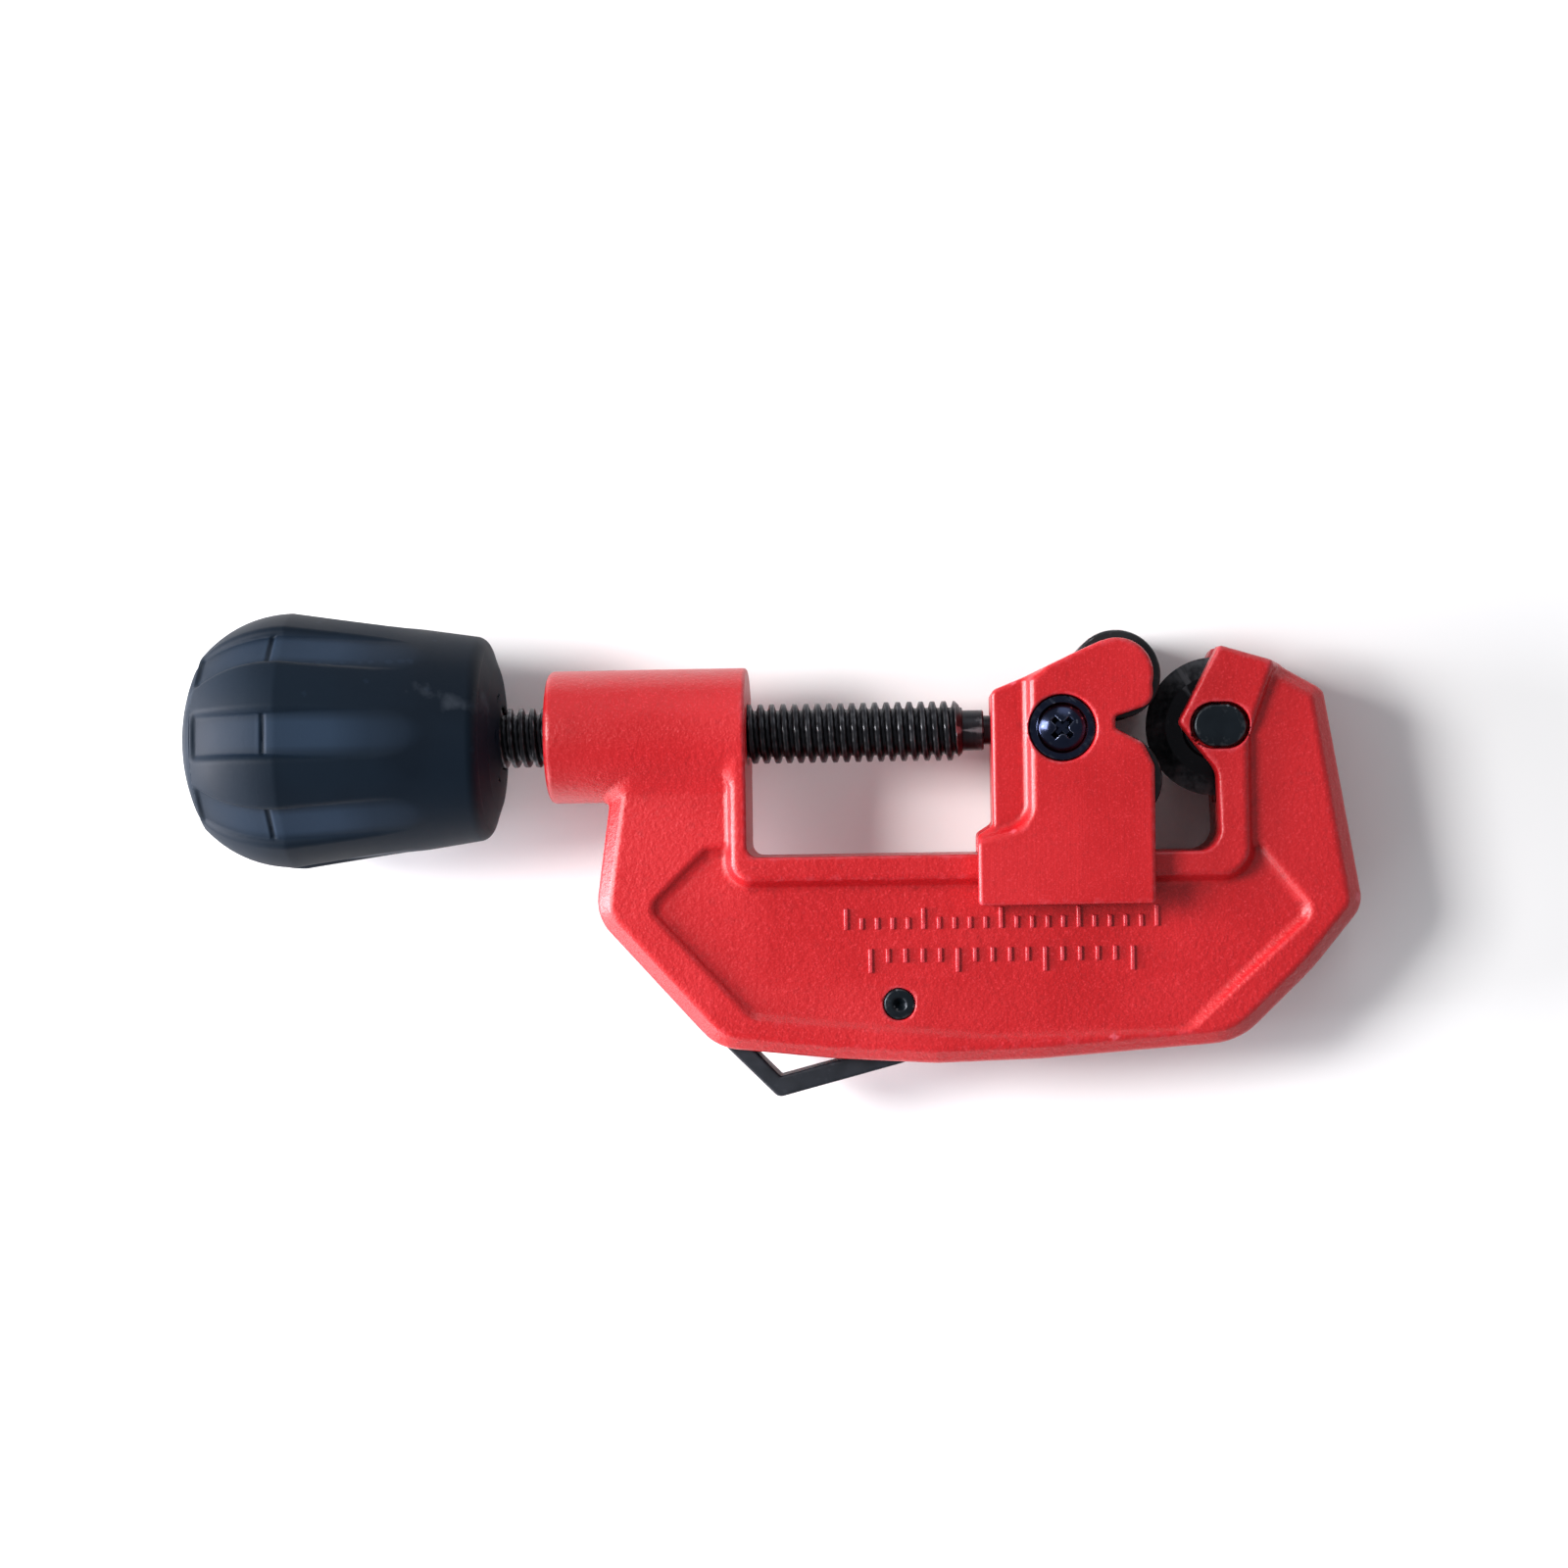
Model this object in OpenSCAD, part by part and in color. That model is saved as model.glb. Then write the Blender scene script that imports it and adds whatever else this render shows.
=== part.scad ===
// Screw-feed pipe cutter with a sliding roller carriage and a fold-out reamer.
// It lies on its back: +X runs along the feed screw from the knob to the jaw, +Y points from the
// frame's spine to the screw, and +Z comes out of the front. The origin is the cutting point, where
// the edge of the cutter wheel meets the pipe. All sizes are in millimetres.

/* [Frame casting] */
// Half thickness of the frame at its recessed side panels
panel_z = 5; // [4.8:0.05:5.1]
// Half thickness of the rim round the panels
rim_z = 6; // [5.8:0.1:6.4]
// Half thickness of the rail and of the jaw
band_z = 7.5; // [7.3:0.1:7.6]
// Width of the bevel round the outer edge of the frame
edge_bevel = 1.9; // [1:0.1:2.2]
// Height of the rail that the carriage slides on
rail_h = 3.6; // [3.2:0.1:3.6]
// Outer radius of the threaded boss
boss_r = 8.7; // [8.4:0.1:9.2]
// Length of the threaded boss
boss_len = 26.1; // [25:0.1:26.4]

/* [Feed screw] */
// Outside radius of the feed screw's thread
thread_r = 3.9; // [3.7:0.05:3.95]
// Pitch of the feed screw's thread
pitch = 1.5; // [1.25:0.25:1.5]
// Radius of the journal that turns in the carriage
journal_r = 2.5; // [2.3:0.05:2.6]
// Radial gap between a turning part and its bore
running_gap = 0.05; // [0.03:0.01:0.08]

/* [Cutting wheel and rollers] */
// Radius of the cutter wheel
wheel_r = 9; // [8.9:0.05:9]
// Width of the cutter wheel's hub
wheel_w = 5; // [4.6:0.1:5]
// Radius of the cutter pin's shank
cutter_pin_r = 2.45; // [2.2:0.05:2.5]
// Radius of each roller
roller_r = 5.75; // [5.5:0.05:5.75]
// Half the distance between the two roller axes
roller_y = 6.7; // [6.7:0.05:6.8]
// Radius of the roller pins
roller_pin_r = 2; // [1.6:0.1:2.2]

/* [Carriage] */
// Height of the carriage's cheeks above the middle plane
cheek_z = 10.2; // [9.9:0.1:10.6]
// Radius of the screw that retains the feed screw in the carriage
slide_screw_r = 1.95; // [1.7:0.05:1.95]

/* [Knob] */
// Largest radius of the knob, over its ribs
knob_r = 17.1; // [16.8:0.1:17.6]
// Number of finger panels round the knob
knob_panels = 8; // [6:1:8]
// Width of one finger panel
panel_w = 5.4; // [4.8:0.1:6]

/* [Reamer] */
// Thickness of the reamer's bent strip
strip_t = 2.5; // [2.2:0.1:2.5]
// Radius of the pin that the reamer turns on
reamer_pin_r = 2; // [1.8:0.05:2.1]

/* [Hidden] */
$fn = 64;
through = 60;              // cutting length that passes any wall
pin_fit = 0.02;            // radial gap of a part that is pressed or screwed in
wheel_gap = 0.8;           // room round the edge of the cutter wheel
wheel_x = wheel_r;         // the wheel's edge stands at the origin
roller_x = wheel_x - sqrt(pow(wheel_r + roller_r + 0.08, 2) - pow(roller_y, 2));
rail_y = -16;              // top face of the rail
window_x = -51.9;          // side of the window next to the boss
boss_x = window_x - boss_len;
carriage_x = -20.2;        // side of the carriage that faces the boss
screw_x = -11.2;           // axis of the retaining screw
screw_seat_z = 7.9;        // floor of the retaining screw's counterbore
screw_seat_r = 4.3;        // radius of that counterbore
pin_seat_z = 4.9;          // floor of the seat of the cutter pin's head
pin_end = -9;              // back end of the cutter pin
clip_z = -8.3;             // back face of the pin's clip
clip_t = 0.7;              // thickness of the clip
clip_groove_r = 1.85;      // radius of the pin in the clip's groove
roller_pin_top = 9;        // front end of the roller pins
journal_end = -9.9;        // tip of the feed screw
bore_end = -9.2;           // bottom of the feed screw's bore in the carriage
thread_end = -23.8;        // last thread before the spigot
knob_face = -84.6;         // inner end of the knob's metal insert
insert_end = -110;         // outer end of the insert and of the feed screw
insert_r = 6.3;            // radius over the corners of the hexagonal insert
shank_r = 3.5;             // radius of the feed screw inside the insert
shank_flat = 2.9;          // height of the flat on that shank
knob_screw_r = 1.5;        // radius of the screw that holds the knob
knob_screw_tip = -102;     // inner end of that screw
cavity_floor = -114;       // floor of the spare-wheel chamber
knob_end = -123.2;         // rim of the knob under its cap
cavity_r = 9.4;            // radius of the spare-wheel chamber
jaw_slot_z = wheel_w / 2 + 0.1;
reamer_x = -32.6;          // axis of the reamer's pin
reamer_y = -35.3;
slot_z = 3.1;              // half width of the reamer's slot in the frame
strip_low = -3;            // lower edge of the reamer's strip
strip_high = 2;            // upper edge of the reamer's strip

// ---- outline helpers -------------------------------------------------------------------------

function unit(v) = v / norm(v);

// Points of the round that replaces corner b between a and c; b[2] is the radius.
function rounded(a, b, c, steps = 5) =
    let (p = [b.x, b.y], u = unit([a.x, a.y] - p), v = unit([c.x, c.y] - p),
         half = acos(u * v) / 2, m = p + unit(u + v) * b[2] / sin(half),
         start = p + u * b[2] / tan(half) - m, turn = (180 - 2 * half) * sign(cross(start, -unit(u + v))))
    [for (i = [0:steps]) let (t = turn * i / steps)
        m + [start.x * cos(t) - start.y * sin(t), start.x * sin(t) + start.y * cos(t)]];

// Outline through corner points [x, y] or [x, y, radius].
function smooth(pts) = [for (i = [0:len(pts) - 1])
    let (n = len(pts), b = pts[i])
    each (len(b) > 2 ? rounded(pts[(i + n - 1) % n], b, pts[(i + 1) % n]) : [b])];

// Points of an arc about c, from angle a0 to a1.
function arc(c, r, a0, a1, steps = 8) =
    [for (i = [0:steps]) let (t = a0 + (a1 - a0) * i / steps) c + r * [cos(t), sin(t)]];

// A solid of revolution about X from points [x, radius].
module turned(profile) rotate([0, 90, 0]) rotate_extrude() polygon([for (p = profile) [p[1], p[0]]]);

module prism(outline, z0, z1) translate([0, 0, z0]) linear_extrude(z1 - z0) polygon(outline);

module rod_x(r, x0, x1) translate([x0, 0, 0]) rotate([0, 90, 0]) cylinder(r = r, h = x1 - x0);

module rod_z(r, x, y, z0, z1) translate([x, y, z0]) cylinder(r = r, h = z1 - z0);

module hexagon_x(r, x0, x1) translate([x0, 0, 0]) rotate([0, 90, 0]) cylinder(r = r, h = x1 - x0, $fn = 6);

// A prism with round ends, drawn out along X.
module obround(r, half, x, z0, z1) {
    for (side = [-1, 1])
        rod_z(r, x + side * half, 0, z0, z1);
    translate([x - half, -r, z0]) cube([2 * half, 2 * r, z1 - z0]);
}

module both_sides() {
    children();
    mirror([0, 0, 1]) children();
}

// ---- frame -----------------------------------------------------------------------------------

// Outer side of the C-shaped frame, from the boss round to the top of the jaw.
frame_outer = smooth([
    [-69.3, -4.5], [-72, -23.5, 6], [-56.4, -40.75, 7], [-27.8, -43.7, 150],
    [11.1, -40.73, 9], [20.7, -31.4, 30], [27.2, -23.4, 4], [22.5, 4.7, 2.5],
    [16.9, 7.9, 8], [9, 10.3, 1.2]]);

// Inner side of the frame: the jaw's nose, the rail and the window beside the boss.
jaw_inner = [[9, 10.3, 1.2], [3.8, 0.5, 0.9], [8.6, -5.8, 3], [8.9, rail_y, 2.8]];
window_corner = [window_x, rail_y, 1.5];

window_cut = concat(
    [[window_x, 30], [9, 30]],
    smooth([[9, 30], each jaw_inner, window_corner, [window_x, 30]]));

band = smooth([
    [-54.4, -4.5], [-54.4, rail_y - rail_h, 3], [13, rail_y - rail_h, 4], [13, -1.6, 2],
    [16.4, 8.05], each jaw_inner, window_corner, [window_x, -4.5]]);

panel = smooth([
    [-54, -14.4], [-57.4, -14.6, 1.5], [-65.3, -22.4, 2], [-51.9, -36.6, 4], [-21.3, -39.7, 100],
    [6.9, -36.9, 4], [21.2, -24, 2.5], [14.2, -15.2, 1.5], [10, -14.4]]);

boss_round = 0.8;
boss_chamfer = 0.3;
boss_profile = concat(
    [[boss_x, 0]], arc([boss_x + boss_round, boss_r - boss_round], boss_round, 180, 90, 4),
    [[window_x - boss_chamfer, boss_r], [window_x, boss_r - boss_chamfer], [window_x, 0]]);

reamer_slot = [
    [-62.4, -33], [-57, -29.8], [-27, -29.3], [-24.6, -32], [-15, -46], [-30, -60], [-70, -50]];

// Graduated ticks that stand proud of the front panel, in two rows.
module ticks() {
    for (i = [0:20])
        translate([-39.6 + 2 * i, -25.7, panel_z - 0.2])
            cube([0.6, i % 5 == 0 ? 2.9 : 1.7, 0.5]);
    for (i = [0:15])
        translate([-36.5 + 2.25 * i, -28 - (i % 5 == 0 ? 3.3 : 2), panel_z - 0.2])
            cube([0.6, i % 5 == 0 ? 3.3 : 2, 0.5]);
}

module frame_plate() {
    difference() {
        hull() {
            linear_extrude(2 * (rim_z - edge_bevel), center = true) polygon(frame_outer);
            linear_extrude(2 * rim_z, center = true) offset(delta = -edge_bevel) polygon(frame_outer);
        }
        prism(window_cut, -through, through);
        both_sides() prism(panel, panel_z, through);
    }
}

module frame() {
    color([0.78, 0.12, 0.16]) {
        difference() {
            union() {
                frame_plate();
                prism(band, -band_z, band_z);
                turned(boss_profile);
                ticks();
            }
            rod_x(thread_r + running_gap, boss_x - 1, window_x + 5);
            // slot for the cutter wheel, open towards the pipe and at the top
            rod_z(wheel_r + wheel_gap, wheel_x, 0, -jaw_slot_z, jaw_slot_z);
            translate([-5, 0, -jaw_slot_z]) cube([wheel_x + wheel_r + wheel_gap + 5, 20, 2 * jaw_slot_z]);
            translate([-5, -wheel_r - wheel_gap, -jaw_slot_z])
                cube([wheel_x + 5, wheel_r + wheel_gap + 0.2, 2 * jaw_slot_z]);
            rod_z(cutter_pin_r + pin_fit, wheel_x, 0, -through, through);
            obround(2.98, 0.85, wheel_x, pin_seat_z, through);
            prism(reamer_slot, -slot_z, slot_z);
            rod_z(reamer_pin_r + pin_fit, reamer_x, reamer_y, -through, through);
        }
    }
}

module cutter_wheel_shape() {
    w = wheel_w / 2;
    rotate_extrude() polygon([
        [cutter_pin_r + running_gap, -w], [4.1, -w], [4.3, -w + 0.2], [4.3, -1.25], [6.6, -0.95],
        [wheel_r - 0.1, -0.06], [wheel_r, 0], [wheel_r - 0.1, 0.06], [6.6, 0.95], [4.3, 1.25],
        [4.3, w - 0.2], [4.1, w], [cutter_pin_r + running_gap, w]]);
}

module cutter_wheel() {
    color([0.16, 0.17, 0.19]) translate([wheel_x, 0, 0]) cutter_wheel_shape();
}

module cutter_pin() {
    color([0.05, 0.08, 0.13]) {
        difference() {
            rod_z(cutter_pin_r, wheel_x, 0, pin_end, pin_seat_z + 0.1);
            // groove for the clip
            difference() {
                rod_z(cutter_pin_r + 1, wheel_x, 0, clip_z - 0.1, clip_z + clip_t);
                rod_z(clip_groove_r, wheel_x, 0, pin_end, 0);
            }
        }
        obround(2.72, 0.6, wheel_x, pin_seat_z + pin_fit, 7.2);
    }
}

module cutter_pin_clip() {
    clip_r = 4;
    mouth = 3.2;
    color([0.3, 0.31, 0.33]) difference() {
        rod_z(clip_r, wheel_x, 0, clip_z, clip_z + clip_t);
        rod_z(clip_groove_r + 0.05, wheel_x, 0, pin_end, 0);
        translate([wheel_x - mouth / 2, -10, pin_end]) cube([mouth, 10, 2]);
    }
}

// ---- carriage --------------------------------------------------------------------------------

ear_r = 4.65;              // radius of the cheeks round the upper roller's pin

cheek_right = [
    [0.4, 2.9, 2], [-4.5, 1.3, 0.6], [-4.5, -0.2, 0.5], [-1, -2.1, 1.5], [0.4, -5, 2], [0.3, -22.5, 0.5]];

cheek_top = [[-9.1, 9.75, 3], [-6.2, 11.0], [roller_x, roller_y + ear_r], [0.2, roller_y]];

cheek = smooth([
    [-22.2, -22.5, 0.5], [-22.2, -13.6, 0.8], [carriage_x, -12.3, 0.8], [carriage_x, 4.9, 1],
    [-15.9, 6.6, 3], each cheek_top, each cheek_right]);

raised_cheek = smooth([
    [-22.2, -22.5, 0.5], [-22.2, -13.6, 0.8], [-15.9, -11.9, 3], [-15.9, 6.6, 1],
    each cheek_top, each cheek_right]);

pocket_z = band_z + 0.1;   // half width of the pockets that the rollers run in

module roller_pocket(side) {
    pocket_r = roller_r + 0.45;
    rod_z(pocket_r, roller_x, side * roller_y, -pocket_z, pocket_z);
    translate([roller_x, side * roller_y - pocket_r, -pocket_z]) cube([20, 2 * pocket_r, 2 * pocket_z]);
}

module slide() {
    lip_y = rail_y - rail_h - 0.3;
    channel_z = band_z + 0.2;
    lip_z = panel_z + 0.4;
    color([0.8, 0.13, 0.17]) difference() {
        union() {
            prism(cheek, -8.6, 8.6);
            prism(raised_cheek, -cheek_z, cheek_z);
            rod_z(ear_r, roller_x, roller_y, -cheek_z, cheek_z);
        }
        // channel that straddles the rail, open below between the lips
        translate([-30, lip_y, -channel_z]) cube([through, rail_y + 0.2 - lip_y, 2 * channel_z]);
        // the flared feet of the cheeks pass outside the frame's wall beside the boss
        translate([-30, lip_y, -channel_z]) cube([30 + carriage_x, -lip_y - 12, 2 * channel_z]);
        translate([-30, -30, -lip_z]) cube([through, 30 + rail_y, 2 * lip_z]);
        roller_pocket(1);
        roller_pocket(-1);
        translate([-5, -3, -pocket_z]) cube([20, 6, 2 * pocket_z]);
        // bore of the feed screw's journal
        rod_x(journal_r + running_gap, -40, bore_end);
        // retaining screw: counterbore and hole
        rod_z(screw_seat_r, screw_x, 0, screw_seat_z, through);
        rod_z(slide_screw_r + pin_fit, screw_x, 0, 0, through);
        // pin holes, open at the back and blind at the front
        for (side = [-1, 1])
            rod_z(roller_pin_r + pin_fit, roller_x, side * roller_y, -through, roller_pin_top + 0.1);
    }
}

// A pan head over a thin flange, with a point that runs in the groove of the journal.
module slide_screw() {
    head_r = 3.2;
    head_z = 9.3;
    slot_l = 3.8;
    slot_w = 0.8;
    color([0.12, 0.13, 0.2]) difference() {
        union() {
            rod_z(screw_seat_r - 0.1, screw_x, 0, screw_seat_z, screw_seat_z + 0.5);
            rod_z(head_r, screw_x, 0, screw_seat_z, head_z);
            translate([screw_x, 0, head_z]) cylinder(r1 = head_r, r2 = 2.5, h = 0.5);
            rod_z(slide_screw_r, screw_x, 0, 2.7, screw_seat_z + 0.1);
            rod_z(1, screw_x, 0, 1.75, 3);
        }
        for (a = [45, 135])
            translate([screw_x, 0, head_z - 0.7]) rotate(a)
                translate([-slot_l / 2, -slot_w / 2, 0]) cube([slot_l, slot_w, 3]);
    }
}

module thrust_disc() {
    color([0.55, 0.56, 0.58]) rod_x(journal_r, journal_end + 0.05, bore_end);
}

module roller(side) {
    w = band_z - 0.2;
    bore = roller_pin_r + running_gap;
    color([0.1, 0.1, 0.12]) translate([roller_x, side * roller_y, 0]) rotate_extrude() polygon([
        [bore, -w], [roller_r - 0.4, -w], [roller_r, -w + 0.4], [roller_r, -0.7], [roller_r - 0.5, -0.3],
        [roller_r - 0.5, 0.3], [roller_r, 0.7], [roller_r, w - 0.4], [roller_r - 0.4, w], [bore, w]]);
}

module roller_pin(side) {
    color([0.35, 0.36, 0.38]) rod_z(roller_pin_r, roller_x, side * roller_y, 0.1 - cheek_z, roller_pin_top);
}

module upper_roller() roller(1);
module lower_roller() roller(-1);
module upper_roller_pin() roller_pin(1);
module lower_roller_pin() roller_pin(-1);

// ---- feed screw and knob ---------------------------------------------------------------------

// Thread as closed rings, one to each pitch, from the knob's insert to the spigot. Each ring is a
// crest and a root, given as parts of the pitch.
root_r = thread_r - 0.61 * pitch;
turns = floor((thread_end - 1.2 - knob_face) / pitch);
ring = [[0.07, thread_r], [0.27, thread_r], [0.53, root_r], [0.73, root_r]];
thread_rings = [for (i = [0:turns - 1], s = ring) [knob_face + (i + s[0]) * pitch, s[1]]];

module feed_screw() {
    spigot_r = 2.65;
    neck_r = 1.9;
    color([0.1, 0.1, 0.11]) difference() {
        turned(concat(
            [[insert_end, 0], [insert_end, shank_r], [knob_face, shank_r]], thread_rings,
            [[thread_end - 1.1, thread_r], [thread_end - 0.7, thread_r], [thread_end, thread_r - 0.8],
             [thread_end, spigot_r], [-21.1, spigot_r], [-21.1, neck_r], [-20, neck_r],
             [-19.6, journal_r], [screw_x - 1.1, journal_r], [screw_x - 1.1, 1.6], [screw_x + 1.1, 1.6],
             [screw_x + 1.1, journal_r], [journal_end - 0.3, journal_r], [journal_end, journal_r - 0.3],
             [journal_end, 0]]));
        // flat that the insert drives
        translate([insert_end - 1, -10, shank_flat]) cube([knob_face - insert_end + 1, 20, 10]);
        rod_x(knob_screw_r + pin_fit, insert_end - 1, knob_screw_tip + 1);
    }
}

// Outlines of the finger panels and of the ribs between them, along the knob.
belly_x = -111.2;          // where the knob is widest
knob_taper_x = -87.6;
rib_r = 16.5;              // radius of the ribs' curve along the knob
rib_curve = concat(arc([belly_x, knob_r - rib_r], rib_r, 136.5, 90, 10), [[knob_taper_x, 13.5]]);
panel_r = 18.5;            // radius of the panels' curve along the knob
panel_low = 1.1;           // depth of the panels below the ribs where the knob is widest
panel_curve = concat(
    arc([belly_x, knob_r - panel_low - panel_r], panel_r, 126.9, 90, 10),
    [[-95, 14.75], [-90, 20], [-122.3, 20]]);

module knob_body() {
    turned(concat([[knob_end, 0], [knob_end, 11.3]], rib_curve,
        arc([knob_taper_x, 11.7], 1.8, 85, 10, 5), [[-84.9, 9.5], [-84.1, 4.6], [-84.1, 0]]));
}

module knob() {
    color([0.11, 0.16, 0.24]) difference() {
        knob_body();
        for (i = [0:knob_panels - 1])
            rotate([i * 360 / knob_panels, 0, 0]) rotate([90, 0, 0])
                linear_extrude(panel_w, center = true) polygon(panel_curve);
        rod_x(cavity_r, knob_end - 5, cavity_floor);
        rod_x(5.7, cavity_floor - 1, insert_end);
        // hexagon that holds the insert, and the opening round the feed screw
        hexagon_x(insert_r + pin_fit, insert_end - 1, knob_face);
        rod_x(thread_r + 0.2, -90, -80);
    }
}

module knob_insert() {
    color([0.7, 0.58, 0.3]) difference() {
        hexagon_x(insert_r, insert_end, knob_face);
        intersection() {
            rod_x(shank_r + 0.03, insert_end - 1, knob_face + 1);
            translate([insert_end - 2, -5, -5])
                cube([knob_face - insert_end + 4, 10, 5 + shank_flat + 0.03]);
        }
    }
}

module knob_washer() {
    color([0.6, 0.61, 0.63]) difference() {
        rod_x(5.2, insert_end - 1, insert_end);
        rod_x(knob_screw_r + 0.1, insert_end - 2, insert_end + 1);
    }
}

module knob_screw() {
    color([0.2, 0.2, 0.22]) difference() {
        union() {
            rod_x(2.75, insert_end - 3.6, insert_end - 1);
            rod_x(knob_screw_r, insert_end - 2, knob_screw_tip);
        }
        hexagon_x(1.44, insert_end - 4, insert_end - 2);
    }
}

module spare_wheel() {
    color([0.35, 0.36, 0.38])
        translate([cavity_floor - wheel_w / 2 - 0.05, 0, 0]) rotate([0, 90, 0]) cutter_wheel_shape();
}

// A shallow dome with a plug that presses into the chamber.
module knob_cap() {
    dome_r = 24.2;
    apex = -126.3;
    plug_r = cavity_r - 0.05;
    plug_end = -119.4;
    rim_x = knob_end - 0.02;
    color([0.1, 0.14, 0.21]) difference() {
        turned(concat(arc([apex + dome_r, 0], dome_r, 180, 153.6, 8),
            [[rim_x, 10.9], [rim_x, plug_r], [plug_end, plug_r], [plug_end, 0]]));
        rod_x(plug_r - 1.25, -123.6, -110);
    }
}

// ---- reamer ----------------------------------------------------------------------------------

// The strip runs from its point along the left leg to the bend, back along the right leg, and
// curls round the pin. Its outline is the two sides of that path.
leg_angle = 14.5;
leg_out = [cos(leg_angle), sin(leg_angle)];
bend = [-48.35, -46.05];
curl_r = reamer_pin_r + running_gap + strip_t / 2;
curl_c = [reamer_x, reamer_y];
sweep_r = 5;
sweep_x = reamer_x + curl_r - sweep_r;
sweep_y = bend.y + (sweep_r + (sweep_x - bend.x) * leg_out.y) / leg_out.x;

// The path of the strip's middle from the bend, moved sideways by d (positive is to the left).
function strip_side(d) = concat(
    arc([sweep_x, sweep_y], sweep_r - d, leg_angle - 90, 0, 8),
    arc(curl_c, curl_r - d, 0, 262, 20));

reamer_outline = concat(
    [bend + [-0.35, -1.25], bend + [0.35, -1.35]],
    strip_side(-strip_t / 2),
    [for (i = [len(strip_side(0)) - 1:-1:0]) strip_side(strip_t / 2)[i]],
    [[-48.25, -44.72], [-58.2, -34.6], [-59.9, -34.3], [-59.6, -36.6], bend + [-0.75, -0.95]]);

module reamer() {
    color([0.16, 0.2, 0.25]) prism(reamer_outline, strip_low, strip_high);
}

module reamer_pin() {
    color([0.06, 0.1, 0.12]) difference() {
        rod_z(reamer_pin_r, reamer_x, reamer_y, -panel_z - 0.2, panel_z + 0.2);
        translate([reamer_x, reamer_y, panel_z - 0.3]) cylinder(r1 = 0.2, r2 = 0.9, h = 0.6);
    }
}

module reamer_washer() {
    color([0.6, 0.61, 0.63]) difference() {
        rod_z(4.3, reamer_x, reamer_y, strip_high + 0.05, slot_z - 0.05);
        rod_z(reamer_pin_r + 0.1, reamer_x, reamer_y, -5, 5);
    }
}

frame();
slide();
slide_screw();
thrust_disc();
upper_roller();
lower_roller();
upper_roller_pin();
lower_roller_pin();
feed_screw();
knob();
knob_insert();
knob_screw();
knob_washer();
knob_cap();
spare_wheel();
cutter_wheel();
cutter_pin();
cutter_pin_clip();
reamer();
reamer_pin();
reamer_washer();
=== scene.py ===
"""Looks of a screw-feed pipe cutter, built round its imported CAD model.

The castings and the knob are modelled as distance fields, which give them the rounded edges,
drafted walls and fillets of real cast and moulded pieces. Turned pieces are profiles swept round
their axis, and the feed screw has a true helical thread. Shapes are worked out in millimetres in
the model's own frame and become metres when they turn into Blender meshes.
"""

import logging
import math
from dataclasses import dataclass
from enum import Enum
from itertools import combinations, product
from typing import Callable, Optional, Sequence

import bmesh
import bpy
import numpy as np
from mathutils import Matrix, Vector


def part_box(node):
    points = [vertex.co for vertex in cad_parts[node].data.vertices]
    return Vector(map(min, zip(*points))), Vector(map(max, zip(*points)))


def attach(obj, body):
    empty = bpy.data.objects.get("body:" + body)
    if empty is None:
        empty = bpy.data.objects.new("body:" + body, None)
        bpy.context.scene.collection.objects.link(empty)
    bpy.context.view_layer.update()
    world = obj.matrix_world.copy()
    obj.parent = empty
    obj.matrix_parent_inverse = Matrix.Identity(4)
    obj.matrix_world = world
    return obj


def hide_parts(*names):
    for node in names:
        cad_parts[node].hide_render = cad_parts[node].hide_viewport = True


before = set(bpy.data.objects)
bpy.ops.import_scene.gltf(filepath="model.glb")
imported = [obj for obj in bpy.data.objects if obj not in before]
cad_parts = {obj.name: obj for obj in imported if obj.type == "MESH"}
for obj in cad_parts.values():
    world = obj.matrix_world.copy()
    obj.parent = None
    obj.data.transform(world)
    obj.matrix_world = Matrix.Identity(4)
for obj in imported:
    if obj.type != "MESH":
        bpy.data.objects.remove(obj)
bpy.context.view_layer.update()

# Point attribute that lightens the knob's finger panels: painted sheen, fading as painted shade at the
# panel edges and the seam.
PANEL_SHEEN = "finger_panel_sheen"
MM = 0.001
log = logging.getLogger("pipe_cutter")

Array = np.ndarray
Field = Callable[[Array, Array, Array], Array]
Colour = tuple[float, float, float]
Corner = tuple[float, ...]


# ---- places taken from the CAD model ---------------------------------------------------------


@dataclass(frozen=True)
class Span:
    """Where a CAD node lies at rest, in millimetres."""

    low: Array
    high: Array

    @classmethod
    def of(cls, node: str) -> "Span":
        """Measures one CAD node.

        Args:
            node: the node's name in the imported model.

        Returns:
            The node's lowest and highest corners.
        """
        low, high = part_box(node)
        return cls(np.array(low) / MM, np.array(high) / MM)

    @property
    def centre(self) -> Array:
        """Middle of the box."""
        return (self.low + self.high) / 2

    @property
    def half(self) -> Array:
        """Half the box's size along each axis."""
        return (self.high - self.low) / 2


# ---- distance fields -------------------------------------------------------------------------


def meet(a: Array, b: Array, radius: float) -> Array:
    """Keeps what lies in both solids, with a rounded edge where they meet.

    Args:
        a: distance to the first solid, negative inside it.
        b: distance to the second solid.
        radius: radius of the rounded edge.

    Returns:
        Distance to the common solid.
    """
    corner = np.hypot(np.maximum(a + radius, 0), np.maximum(b + radius, 0))
    return np.minimum(np.maximum(a, b), -radius) + corner


def join(a: Array, b: Array, radius: float) -> Array:
    """Joins two solids with a fillet between them.

    Args:
        a: distance to the first solid, negative inside it.
        b: distance to the second solid.
        radius: radius of the fillet.

    Returns:
        Distance to the joined solid.
    """
    return -meet(-a, -b, radius)


def cut(a: Array, b: Array, radius: float) -> Array:
    """Takes solid b out of solid a and rounds the edges that this leaves.

    Args:
        a: distance to the solid that stays.
        b: distance to the solid that is taken out.
        radius: radius of the rounded edge.

    Returns:
        Distance to what is left.
    """
    return meet(a, -b, radius)


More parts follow.
